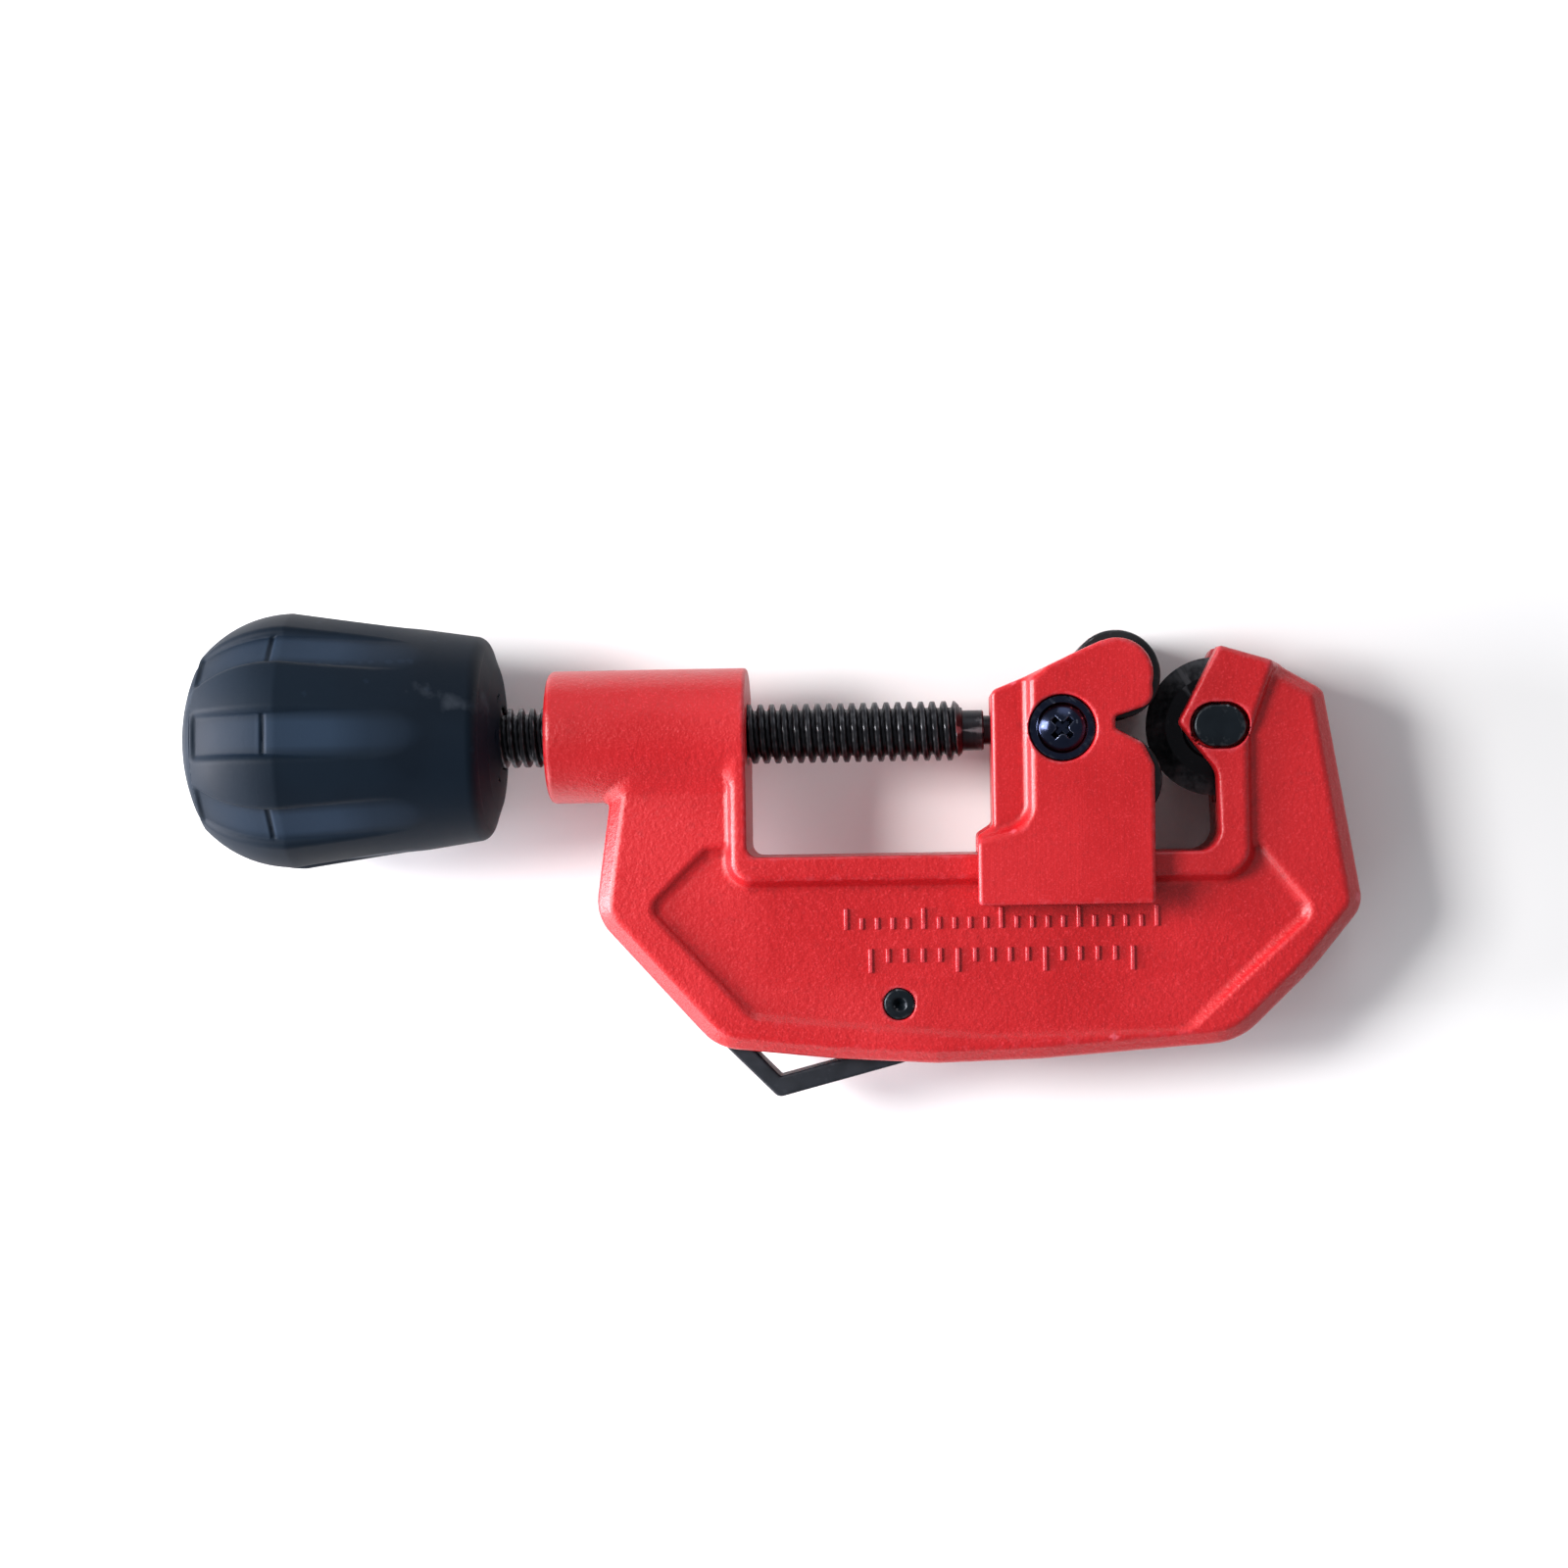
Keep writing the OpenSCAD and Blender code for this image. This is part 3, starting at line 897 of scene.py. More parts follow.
class Workshop:
    """Turns shells and CAD nodes into finished pieces."""

    def __init__(self) -> None:
        """Starts with no material built."""
        self.materials: dict[str, bpy.types.Material] = {}

    def material(self, slot: str) -> bpy.types.Material:
        """Gives a slot's material, built the first time it is asked for.

        Args:
            slot: the material slot.

        Returns:
            The material.
        """
        if slot not in self.materials:
            self.materials[slot] = FINISHES[slot].build()
        return self.materials[slot]

    def piece(self, shell: Shell, name: str, body: str, slot: str, *nodes: str) -> bpy.types.Object:
        """Makes a piece that stands for CAD nodes.

        Args:
            shell: the piece's shape.
            name: name of the piece.
            body: the CAD body that it moves with.
            slot: the material slot.
            nodes: the CAD nodes that it replaces.

        Returns:
            The piece.
        """
        made = shell.to_object(name)
        made.data.materials.append(self.material(slot))
        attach(made, body)
        if nodes:
            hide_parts(*nodes)
        log.info("%s: %d points on %s", name, len(made.data.vertices), body)
        return made

    def dress(self, node: str, slot: str) -> None:
        """Gives a CAD node that keeps its shape its finish.

        Args:
            node: the node's name.
            slot: the material slot.
        """
        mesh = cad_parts[node].data
        mesh.materials.clear()
        mesh.materials.append(self.material(slot))
        log.info("%s: CAD shape, dressed as %s", node, slot)


# ---- frame -----------------------------------------------------------------------------------


@dataclass(frozen=True)
class TickRow:
    """One row of raised ticks, which stand up (1) or down (-1) from their base line."""

    first: float
    pitch: float
    count: int
    base: float
    short: float
    tall: float
    way: int


@dataclass
class FrameCasting:
    """The C-shaped casting with its boss, rail and jaw, and the pins fixed in it."""

    rim_z: float = 6.0
    panel_z: float = 5.0
    band_z: float = 7.5
    edge_bevel: float = 1.9
    pocket_draft: float = 0.9
    band_draft: float = 0.42
    rail_y: float = -16.0
    rail_h: float = 3.6
    window_x: float = -51.9
    boss_r: float = 8.7
    boss_x: float = -78.0
    bore_r: float = 3.95
    slot_half: float = 2.6
    wheel_gap: float = 0.8
    reamer_slot_half: float = 3.1
    run_out_y: float = -33.0
    run_out_rise: float = 0.09
    seat_r: float = 2.98
    seat_half: float = 0.85
    seat_z: float = 4.9
    pin_hole_r: float = 2.47
    pin_r: float = 2.45
    head_r: float = 2.72
    head_half: float = 0.6
    head_gap: float = 0.02
    groove_r: float = 1.85
    groove_z: tuple[float, float] = (-8.4, -7.6)
    clip_r: tuple[float, float] = (1.9, 4.0)
    clip_z: tuple[float, float] = (-8.3, -7.6)
    rivet_gap: float = 0.05
    tick_rows: tuple[TickRow, ...] = (
        TickRow(first=-39.3, pitch=2.0, count=21, base=-25.7, short=1.7, tall=2.9, way=1),
        TickRow(first=-36.2, pitch=2.25, count=16, base=-28.0, short=2.0, tall=3.3, way=-1))
    cell: float = 0.37
    pin_cell: float = 0.16
    clip_cell: float = 0.12
    rivet_cell: float = 0.13

    def __post_init__(self) -> None:
        """Works out the outlines and the places of the wheel and the reamer's pin."""
        self.wheel = Span.of("cutter_wheel")
        self.reamer_pin = Span.of("reamer_pin")
        self.pin = Span.of("cutter_pin")
        self.outer = Outline.through(
            (-69.3, -4.5), (-72, -23.5, 6), (-56.4, -40.75, 7), (-27.8, -43.7, 150),
            (11.1, -40.73, 9), (20.7, -31.4, 30), (27.2, -23.4, 4), (22.5, 4.7, 2.5),
            (16.9, 7.9, 8), (9, 10.3, 1.2), (9, 30), (-69.3, 30))
        self.panel = Outline.through(
            (-54, -14.4), (-57.4, -14.6, 1.5), (-65.3, -22.4, 2), (-51.6, -37.0, 3.0),
            (-21.3, -39.9, 30), (4.5, -39.4, 4), (21.2, -24, 2.5), (14.2, -15.2, 1.5), (10, -14.4))
        self.window = Outline.through(
            (self.window_x, 40), (9, 40), (9, 10.3, 1.2), (3.8, 0.5, 0.9), (8.6, -5.8, 3),
            (8.9, self.rail_y, 2.8), (self.window_x, self.rail_y, 1.5))
        self.band = Outline.through(
            (-54.4, -2), (-54.4, self.rail_y - self.rail_h, 3), (13, self.rail_y - self.rail_h, 4),
            (13, -1.6, 2), (17.6, 11), (9, 20), (-40, 20), (-40, -2))
        self.reamer_slot = Outline.through(
            (-62.4, -33), (-57, -29.8), (-27, -29.3), (-24.6, -32), (-15, -46), (-30, -60), (-70, -50))
        self.jaw_top = Outline.through(
            (-19, -60), (60, -60), (60, 4), (22.5, 4.7, 2.5), (16.9, 7.9, 8), (9, 10.3, 1.2), (-19, 12))

    def field(self, x: Array, y: Array, z: Array) -> Array:
        """Distance to the casting.

        Args:
            x: first coordinate.
            y: second coordinate.
            z: third coordinate.

        Returns:
            The distance, negative inside.
        """
        depth = np.abs(z)
        rim = self.outer.distance(x, y)
        above = self.top_plane(x, y)
        plate = meet(meet(rim, depth - self.rim_z, 0.4), above, 0.8)
        plate = meet(plate, (rim + depth - self.rim_z + self.edge_bevel) / math.sqrt(2), 0.35)
        draft = self.pocket_draft
        pocket_wall = (self.panel.distance(x, y) + draft * (self.rim_z - depth)) / math.hypot(1, draft)
        run_out = self.run_out_rise * np.maximum(self.run_out_y - y, 0)
        plate = cut(plate, meet(pocket_wall, self.panel_z + run_out - depth, 0.5), 0.3)
        draft = self.band_draft
        flank = (self.band.distance(x, y) + draft * (depth - self.rim_z)) / math.hypot(1, draft)
        band = meet(meet(flank, depth - self.band_z, 0.6), above, 0.8)
        body = join(plate, band, 0.6)
        girth = np.hypot(y, z)
        boss = meet(girth - self.boss_r, slab(x, self.boss_x, self.window_x + 6), 0.9)
        body = join(body, boss, 1.3)
        body = cut(body, self.window.distance(x, y), 0.45)
        body = cut(body, self.wheel_slot(x, y, depth), 0.3)
        body = cut(body, meet(self.reamer_slot.distance(x, y), depth - self.reamer_slot_half, 0.3), 0.4)
        body = cut(body, rod(y, z, self.bore_r, x, self.boss_x - 5, self.window_x + 8), 0.35)
        return cut(body, self.pin_holes(x, y, z), 0.22)

    def top_plane(self, x: Array, y: Array) -> Array:
        """Distance above the slanting top of the jaw and the shoulder beside the boss.

        Args:
            x: first coordinate.
            y: second coordinate.

        Returns:
            The distance, negative below.
        """
        shoulder_x, shoulder_y = -5.0, -2.0
        shoulder = np.maximum(y - shoulder_y, x - shoulder_x)
        return np.minimum(shoulder, self.jaw_top.distance(x, y))

    def wheel_slot(self, x: Array, y: Array, depth: Array) -> Array:
        """Distance to the slot that the cutter wheel runs in.

        Args:
            x: first coordinate.
            y: second coordinate.
            depth: distance from the middle plane.

        Returns:
            The distance to the slot's space.
        """
        wheel_x, wheel_r = self.wheel.centre[0], self.wheel.half[0] + self.wheel_gap
        disc = np.hypot(x - wheel_x, y) - wheel_r
        upper = np.maximum(slab(x, -5, wheel_x + wheel_r), slab(y, 0, 20))
        mouth = np.maximum(slab(x, -5, wheel_x), slab(y, -wheel_r, 0.5))
        return np.maximum(np.minimum(disc, np.minimum(upper, mouth)), depth - self.slot_half)

    def pin_holes(self, x: Array, y: Array, z: Array) -> Array:
        """Distance to the cutter pin's hole and seat and the reamer pin's hole.

        Args:
            x: first coordinate.
            y: second coordinate.
            z: third coordinate.

        Returns:
            The distance to the nearest hole.
        """
        across = np.maximum(np.abs(x - self.wheel.centre[0]) - self.seat_half, 0)
        seat = meet(np.hypot(across, y) - self.seat_r, self.seat_z - z, 0.2)
        hole = np.hypot(x - self.wheel.centre[0], y) - self.pin_hole_r
        pin = self.reamer_pin
        reamer = np.hypot(x - pin.centre[0], y - pin.centre[1]) - pin.half[0] - self.rivet_gap
        return np.minimum(np.minimum(seat, hole), reamer)

    def build(self, shop: Workshop) -> None:
        """Makes the casting, its ticks and its pins.

        Args:
            shop: makes the pieces.
        """
        span = Span.of("frame")
        shell = Shell.skin(self.field, span.low, span.high, self.cell)
        shop.piece(shell, "frame_casting", "frame", "frame_paint", "frame")
        self.build_ticks(shop)
        self.build_pins(shop)

    def build_ticks(self, shop: Workshop) -> None:
        """Makes the two rows of raised ticks on the front panel.

        Args:
            shop: makes the piece.
        """
        foot, top, low, high = 0.36, 0.22, self.panel_z - 0.15, self.panel_z + 0.32
        end_slope, tall_every, edge_r = 0.14, 5, 0.08
        ring = [[0, 1, 5, 4], [1, 2, 6, 5], [2, 3, 7, 6], [3, 0, 4, 7], [4, 5, 6, 7], [3, 2, 1, 0]]
        points, faces = [], []
        for row, i in [(row, i) for row in self.tick_rows for i in range(row.count)]:
            x = row.first + row.pitch * i
            length = row.tall if i % tall_every == 0 else row.short
            y0, y1 = sorted((row.base, row.base + row.way * length))
            start = len(points)
            for half, end, z in ((foot, 0.0, low), (top, end_slope, high)):
                points += [(x - half, y0 + end, z), (x + half, y0 + end, z),
                           (x + half, y1 - end, z), (x - half, y1 - end, z)]
            faces += [[start + k for k in face] for face in ring]
        piece = shop.piece(Shell(np.array(points), faces), "frame_ticks", "frame", "frame_paint")
        soften = piece.modifiers.new("soften", "BEVEL")
        soften.width = edge_r * MM
        soften.segments = 2

    def build_pins(self, shop: Workshop) -> None:
        """Makes the cutter pin, its clip, the reamer pin and its washer.

        Args:
            shop: makes the pieces.
        """
        shell = Shell.skin(self.cutter_pin, self.pin.low, self.pin.high, self.pin_cell)
        shop.piece(shell, "wheel_pin", "frame", "black_pin", "cutter_pin")
        clip = Span.of("cutter_pin_clip")
        shell = Shell.skin(self.clip, clip.low, clip.high, self.clip_cell)
        shop.piece(shell, "wheel_pin_clip", "frame", "spring_steel", "cutter_pin_clip")
        span = self.reamer_pin
        shell = Shell.skin(self.rivet, span.low, span.high, self.rivet_cell)
        shop.piece(shell, "reamer_rivet", "frame", "black_pin", "reamer_pin")
        washer = Span.of("reamer_washer")
        low, high, outer = washer.low[2], washer.high[2], washer.half[0]
        inner = span.half[0] + 0.1
        profile = Outline.through(
            (low, inner, 0.1), (low, outer, 0.2), (high, outer, 0.2), (high, inner, 0.1))
        shell = Shell.turned(profile, 2, washer.centre)
        shop.piece(shell, "reamer_wave_washer", "frame", "spring_steel", "reamer_washer")

    def cutter_pin(self, x: Array, y: Array, z: Array) -> Array:
        """Distance to the cutter pin, with its flatted head and clip groove.

        Args:
            x: first coordinate.
            y: second coordinate.
            z: third coordinate.

        Returns:
            The distance, negative inside.
        """
        shank_top = 5
        x = x - self.wheel.centre[0]
        girth = np.hypot(x, y)
        shank = meet(girth - self.pin_r, slab(z, self.pin.low[2], shank_top), 0.3)
        groove = np.maximum(self.groove_r - girth, slab(z, *self.groove_z))
        across = np.maximum(np.abs(x) - self.head_half, 0)
        thick = slab(z, self.seat_z + self.head_gap, self.pin.high[2])
        head = meet(np.hypot(across, y) - self.head_r, thick, 0.35)
        return np.minimum(cut(shank, groove, 0.05), head)

    def clip(self, x: Array, y: Array, z: Array) -> Array:
        """Distance to the spring clip behind the jaw.

        Args:
            x: first coordinate.
            y: second coordinate.
            z: third coordinate.

        Returns:
            The distance, negative inside.
        """
        inner, outer = self.clip_r
        mouth_half, ear_x, ear_y, ear_r = 1.6, 2.9, -0.6, 0.5
        x = x - self.wheel.centre[0]
        girth = np.hypot(x, y)
        ring = meet(np.maximum(girth - outer, inner - girth), slab(z, *self.clip_z), 0.15)
        mouth = np.maximum(np.abs(x) - mouth_half, y)
        ears = np.minimum(np.hypot(x - ear_x, y - ear_y), np.hypot(x + ear_x, y - ear_y)) - ear_r
        return cut(cut(ring, mouth, 0.3), ears, 0.1)

    def rivet(self, x: Array, y: Array, z: Array) -> Array:
        """Distance to the reamer's pin, with the dimple of its riveting punch.

        Args:
            x: first coordinate.
            y: second coordinate.
            z: third coordinate.

        Returns:
            The distance, negative inside.
        """
        dimple_r, taper = 0.95, 0.9
        pin = self.reamer_pin
        girth = np.hypot(x - pin.centre[0], y - pin.centre[1])
        body = meet(girth - pin.half[0], slab(z, pin.low[2], pin.high[2]), 0.3)
        dimple = (girth - dimple_r + taper * (pin.high[2] - np.abs(z))) / math.hypot(1, taper)
        return cut(body, dimple, 0.15)


# ---- carriage --------------------------------------------------------------------------------


@dataclass
class Carriage:
    """The casting that slides on the rail, with its retaining screw and the rollers' pins."""

    web_z: float = 8.6
    cheek_z: float = 10.2
    carriage_x: float = -20.2
    lobe_r: float = 4.65
    channel_z: float = 7.7
    lip_z: float = 5.4
    channel_y: tuple[float, float] = (-19.9, -15.8)
    step_draft: float = 0.5
    pocket_gap: float = 0.45
    pocket_z: float = 7.6
    wheel_gap_x: float = -5.0
    wheel_gap_half: float = 3.0
    bore_r: float = 2.55
    bore_end: float = -9.2
    pin_hole_r: float = 2.02
    pin_hole_z: float = 9.1
    screw_hole_r: float = 1.97
    seat_r: float = 4.3
    seat_z: float = 7.9
    head_r: float = 3.15
    dome_r: float = 5.2
    flange_gap: float = 0.1
    flange_t: float = 0.5
    shank_r: float = 1.95
    dog_r: float = 1.0
    recess_depth: float = 1.3
    cell: float = 0.3
    screw_cell: float = 0.11

    def __post_init__(self) -> None:
        """Works out the outlines and the rollers' place."""
        self.upper = Span.of("upper_roller")
        self.screw = Span.of("slide_screw")
        roller_x, roller_y = self.upper.centre[0], self.upper.centre[1]
        self.top = ((-9.1, 9.75, 3), (-6.2, 11.0, 1), (roller_x, roller_y + self.lobe_r), (0.2, roller_y))
        self.right = (
            (0.4, 2.9, 2), (-4.5, 1.3, 0.6), (-4.5, -0.2, 0.5), (-1, -2.1, 1.5), (0.4, -5, 2),
            (0.3, -22.5, 0.5))
        self.cheek = Outline.through(
            (-22.2, -22.5, 0.5), (-22.2, -13.6, 0.8), (self.carriage_x, -12.3, 0.8),
            (self.carriage_x, 4.9, 1), (-15.9, 6.6, 3), *self.top, *self.right)
        self.raised = Outline.through(
            (-24, -30), (-24, -13.2), (-22.2, -13.6, 0.8), (-15.9, -11.9, 3), (-15.9, 6.6, 1.5),
            (-14, 8, 1), (-14, 20), (10, 20), (10, -30))

    def field(self, x: Array, y: Array, z: Array) -> Array:
        """Distance to the casting.

        Args:
            x: first coordinate.
            y: second coordinate.
            z: third coordinate.

        Returns:
            The distance, negative inside.
        """
        depth = np.abs(z)
        roller_x, roller_y, _ = self.upper.centre
        side = np.minimum(
            self.cheek.distance(x, y), np.hypot(x - roller_x, y - roller_y) - self.lobe_r)
        draft = self.step_draft
        step = (self.raised.distance(x, y) + draft * (depth - self.web_z)) / math.hypot(1, draft)
        raised = meet(step, depth - self.cheek_z, 0.5)
        top = join(depth - self.web_z, raised, 0.5)
        body = meet(side, top, 0.55)
        foot = self.channel_y[0]
        inner = np.maximum(depth - self.channel_z, slab(y, *self.channel_y))
        throat = np.maximum(depth - self.lip_z, slab(y, -40, -16))
        feet = np.maximum(np.maximum(depth - self.channel_z, slab(y, foot, -12)), x - self.carriage_x)
        body = cut(body, np.minimum(np.minimum(inner, throat), feet), 0.25)
        pocket_r = self.upper.half[0] + self.pocket_gap
        for way in (1, -1):
            centre_y = way * roller_y
            pocket = np.minimum(
                np.hypot(x - roller_x, y - centre_y) - pocket_r,
                np.maximum(roller_x - x, np.abs(y - centre_y) - pocket_r))
            body = cut(body, np.maximum(pocket, depth - self.pocket_z), 0.3)
        gap = np.maximum(self.wheel_gap_x - x, np.abs(y) - self.wheel_gap_half)
        body = cut(body, np.maximum(gap, depth - self.pocket_z), 0.2)
        body = cut(body, rod(y, z, self.bore_r, x, -40, self.bore_end), 0.3)
        seat = meet(np.hypot(x - self.screw.centre[0], y) - self.seat_r, self.seat_z - z, 0.2)
        body = cut(body, seat, 0.35)
        hole = np.maximum(np.hypot(x - self.screw.centre[0], y) - self.screw_hole_r, -z)
        pins = np.minimum(
            np.hypot(x - roller_x, y - roller_y), np.hypot(x - roller_x, y + roller_y)) - self.pin_hole_r
        return cut(body, np.minimum(hole, np.maximum(pins, z - self.pin_hole_z)), 0.15)

    def screw_field(self, x: Array, y: Array, z: Array) -> Array:
        """Distance to the retaining screw, a domed head with a cross recess and a dog point.

        Args:
            x: first coordinate.
            y: second coordinate.
            z: third coordinate.

        Returns:
            The distance, negative inside.
        """
        shank_z, dog_z = (2.7, self.seat_z + 0.2), (1.75, 3.0)
        x = x - self.screw.centre[0]
        girth = np.hypot(x, y)
        dome = np.sqrt(girth**2 + (z - self.screw.high[2] + self.dome_r) ** 2) - self.dome_r
        head = meet(meet(girth - self.head_r, dome, 0.3), self.seat_z - z, 0.12)
        thick = slab(z, self.seat_z, self.seat_z + self.flange_t)
        head = join(head, meet(girth - self.seat_r + self.flange_gap, thick, 0.12), 0.2)
        shank = np.maximum(girth - self.shank_r, slab(z, *shank_z))
        dog = np.maximum(girth - self.dog_r, slab(z, *dog_z))
        half = math.sqrt(0.5)
        u, v = np.abs(x + y) * half, np.abs(x - y) * half
        depth = self.screw.high[2] - z
        wing = 0.42 - 0.10 * depth
        reach = 1.95 - 0.75 * depth
        cross = np.minimum(np.maximum(u - reach, v - wing), np.maximum(v - reach, u - wing))
        core = girth - 0.85 + 0.35 * depth
        recess = np.maximum(np.minimum(cross, core), depth - self.recess_depth)
        return np.minimum(cut(head, recess, 0.1), np.minimum(shank, dog))

    def build(self, shop: Workshop) -> None:
        """Makes the casting, the screw and the pins.

        Args:
            shop: makes the pieces.
        """
        span = Span.of("slide")
        shell = Shell.skin(self.field, span.low, span.high, self.cell)
        shop.piece(shell, "slide_casting", "carriage", "slide_paint", "slide")
        shell = Shell.skin(self.screw_field, self.screw.low, self.screw.high, self.screw_cell)
        shop.piece(shell, "retaining_screw", "carriage", "blued_screw", "slide_screw")
        shop.dress("thrust_disc", "bright_steel")
        for node in ("upper_roller_pin", "lower_roller_pin"):
            pin = Span.of(node)
            low, high, radius = pin.low[2], pin.high[2], pin.half[0]
            profile = Outline.through((low, 0), (low, radius, 0.35), (high, radius, 0.35), (high, 0))
            shell = Shell.turned(profile, 2, pin.centre, 64)
            shop.piece(shell, node.replace("_pin", "_axle"), "carriage", "bright_steel", node)


@dataclass
class Roller:
    """One grooved roller that the pipe rests against."""

    node: str
    body: str
    groove_depth: float = 0.5
    groove_floor: float = 0.3
    groove_mouth: float = 0.7
    bore_r: float = 2.05

    def build(self, shop: Workshop) -> None:
        """Makes the roller.

        Args:
            shop: makes the piece.
        """
        span = Span.of(self.node)
        low, high, radius = span.low[2], span.high[2], span.half[0]
        middle, floor = span.centre[2], radius - self.groove_depth
        profile = Outline.through(
            (low, self.bore_r, 0.15), (low, radius, 0.4), (middle - self.groove_mouth, radius, 0.15),
            (middle - self.groove_floor, floor, 0.1), (middle + self.groove_floor, floor, 0.1),
            (middle + self.groove_mouth, radius, 0.15), (high, radius, 0.4), (high, self.bore_r, 0.15))
        shell = Shell.turned(profile, 2, span.centre, 128)
        shop.piece(shell, self.node + "_barrel", self.body, "roller_black", self.node)


@dataclass
class Wheel:
    """A hardened cutting wheel, fitted or spare."""

    node: str
    name: str
    body: str
    along: int
    bore_r: float = 2.5
    hub_r: float = 4.3
    web_half: float = 1.3
    bevel_r: float = 6.5
    bevel_half: float = 1.0
    edge_half: float = 0.05

    def build(self, shop: Workshop) -> None:
        """Makes the wheel.

        Args:
            shop: makes the piece.
        """
        span = Span.of(self.node)
        half = span.half[self.along]
        rim = max(span.half)
        middle = span.centre[self.along]
        side = [
            (half, self.bore_r, 0.1), (half, self.hub_r, 0.25), (self.web_half, self.hub_r, 0.3),
            (self.bevel_half, self.bevel_r, 0.4), (self.edge_half, rim)]
        left = [(middle - c[0], *c[1:]) for c in side]
        right = [(middle + c[0], *c[1:]) for c in reversed(side)]
        profile = Outline.through(*left, *right)
        shell = Shell.turned(profile, self.along, span.centre, 160)
        shop.piece(shell, self.name, self.body, "wheel_steel", self.node)


# ---- feed screw and knob ---------------------------------------------------------------------


@dataclass
class Feed:
    """The feed screw with the knob on its end, and what the knob holds."""

    pitch: float = 1.5
    thread_r: float = 3.9
    thread_depth: float = 0.85
    shank_r: float = 3.5
    flat_z: float = 2.9
    spigot_r: float = 2.65
    rib_top: float = 17.1
    panels: int = 8
    panel_phase: float = 3.0
    panel_half: float = 2.7
    panel_end_half: float = 2.2
    panel_taper: float = 0.025
    panel_taper_x: float = -108.0
    seam_x: float = -112.7
    seam_depth: float = 0.3
    seam_width: float = 0.3
    tread_drop: float = 0.12
    tread_run: float = 1.5
    lip_x: tuple[float, ...] = (-112.0, -99.0, -93.0)
    lip_r: tuple[float, ...] = (1.3, 0.8, 0.12)
    chamber_r: float = 9.4
    recess_r: float = 5.7
    insert_r: float = 6.32
    neck_r: float = 4.1
    cap_screw_r: float = 2.75
    cap_screw_head: float = 2.6
    cap_shank_r: float = 1.5
    socket_r: float = 1.44
    socket_depth: float = 1.6
    cell: float = 0.3
    cap_screw_cell: float = 0.13

    def __post_init__(self) -> None:
        """Works out the knob's places from the CAD model."""
        self.screw = Span.of("feed_screw")
        self.knob = Span.of("knob")
        self.insert = Span.of("knob_insert")
        belly_x = -111.2
        rib_r = 16.5
        end_x = float(self.knob.low[0])
        ribs = arc((belly_x, self.rib_top - rib_r), rib_r, 136.5, 90)
        shoulder = arc((-87.6, 11.7), 1.8, 85, 10)
        face_x = float(self.knob.high[0])
        end_r, cone_x, cone_r, face_r = 11.3, -84.9, 9.5, 4.6
        self.profile = Outline(np.vstack([
            [[end_x, -end_r], [end_x, end_r]], ribs, shoulder,
            [[cone_x, cone_r], [face_x, face_r], [face_x, -face_r], [cone_x, -cone_r]]]))
        panel_r, panel_low = 18.5, 1.1
        floor = arc((belly_x, self.rib_top - panel_low - panel_r), panel_r, 126.9, 90)
        outside = [[-95, 14.75], [-88, 14.25], [-88, 20], [-122.3, 20]]
        self.panel_tool = Outline(np.vstack([floor, outside]))

    def knob_field(self, x: Array, y: Array, z: Array) -> Array:
        """Distance to the knob.

        Args:
            x: first coordinate.
            y: second coordinate.
            z: third coordinate.

        Returns:
            The distance, negative inside.
        """
        girth = np.hypot(y, z)
        body = self.profile.distance(x, girth)
        across, out = self.panel_place(y, z)
        half = self.panel_half + (x - self.panel_taper_x) * self.panel_taper
        half = np.clip(half, self.panel_end_half, self.panel_half)
        seam = self.seam_depth * np.exp(-((x - self.seam_x) / self.seam_width) ** 2)
        tread_start = self.seam_x + 0.5
        tread = seam + self.tread_drop * np.clip((tread_start - x) / self.tread_run, 0, 1)
        floor = self.panel_tool.distance(x, out + tread)
        lip = np.interp(x, self.lip_x, self.lip_r)
        body = cut(body, meet(np.abs(across) - half, floor, 0.2), lip)
        chamber = rod(y, z, self.chamber_r, x, -130, -114)
        recess = rod(y, z, self.recess_r, x, -115, -109.9)
        insert = np.maximum(self.hexagon(y, z, self.insert_r), slab(x, -110.5, -84.5))
        neck = rod(y, z, self.neck_r, x, -90, -80)
        return cut(body, np.minimum(np.minimum(chamber, recess), np.minimum(insert, neck)), 0.2)

    def paint_panel_sheen(self, mesh: bpy.types.Mesh) -> None:
        """Marks each point of the knob with its share of painted sheen: lighter in the finger panels,
        strongest partway along the knob, and fading as painted shade toward the panel edges and the seam.

        Args:
            mesh: the knob's mesh.
        """
        skin, wall, fade, skin_fade = 0.35, 0.4, 1.6, 0.3
        # Painted sheen, stronger partway along the knob than at its ends.
        sheen_x, sheen_share = (-121.0, -112.0, -104.0, -93.0), (0.45, 0.75, 1.0, 0.2)
        seam_reach, seam_shade = 1.5, 0.55
        place = np.empty(len(mesh.vertices) * 3, np.float32)
        mesh.vertices.foreach_get("co", place)
        x, y, z = place.reshape(-1, 3).T / MM
        across, out = self.panel_place(y, z)
        depth = -self.panel_tool.distance(x, out + skin)
        # Fades toward the panel walls: painted shade along the panel edges.
        inward = np.clip((self.panel_half + wall - np.abs(across)) / fade, 0, 1)
        panel_sheen = inward * np.clip(depth / skin_fade, 0, 1) * np.interp(x, sheen_x, sheen_share)
        seam = np.clip(seam_reach - np.abs(x - self.seam_x) / self.seam_width, 0.0, 1.0)
        # Less sheen at the seam, which leaves a painted dark line of shade.
        panel_sheen *= 1.0 - seam_shade * seam
        layer = mesh.attributes.new(PANEL_SHEEN, "FLOAT", "POINT")
        layer.data.foreach_set("value", panel_sheen.astype(np.float32))

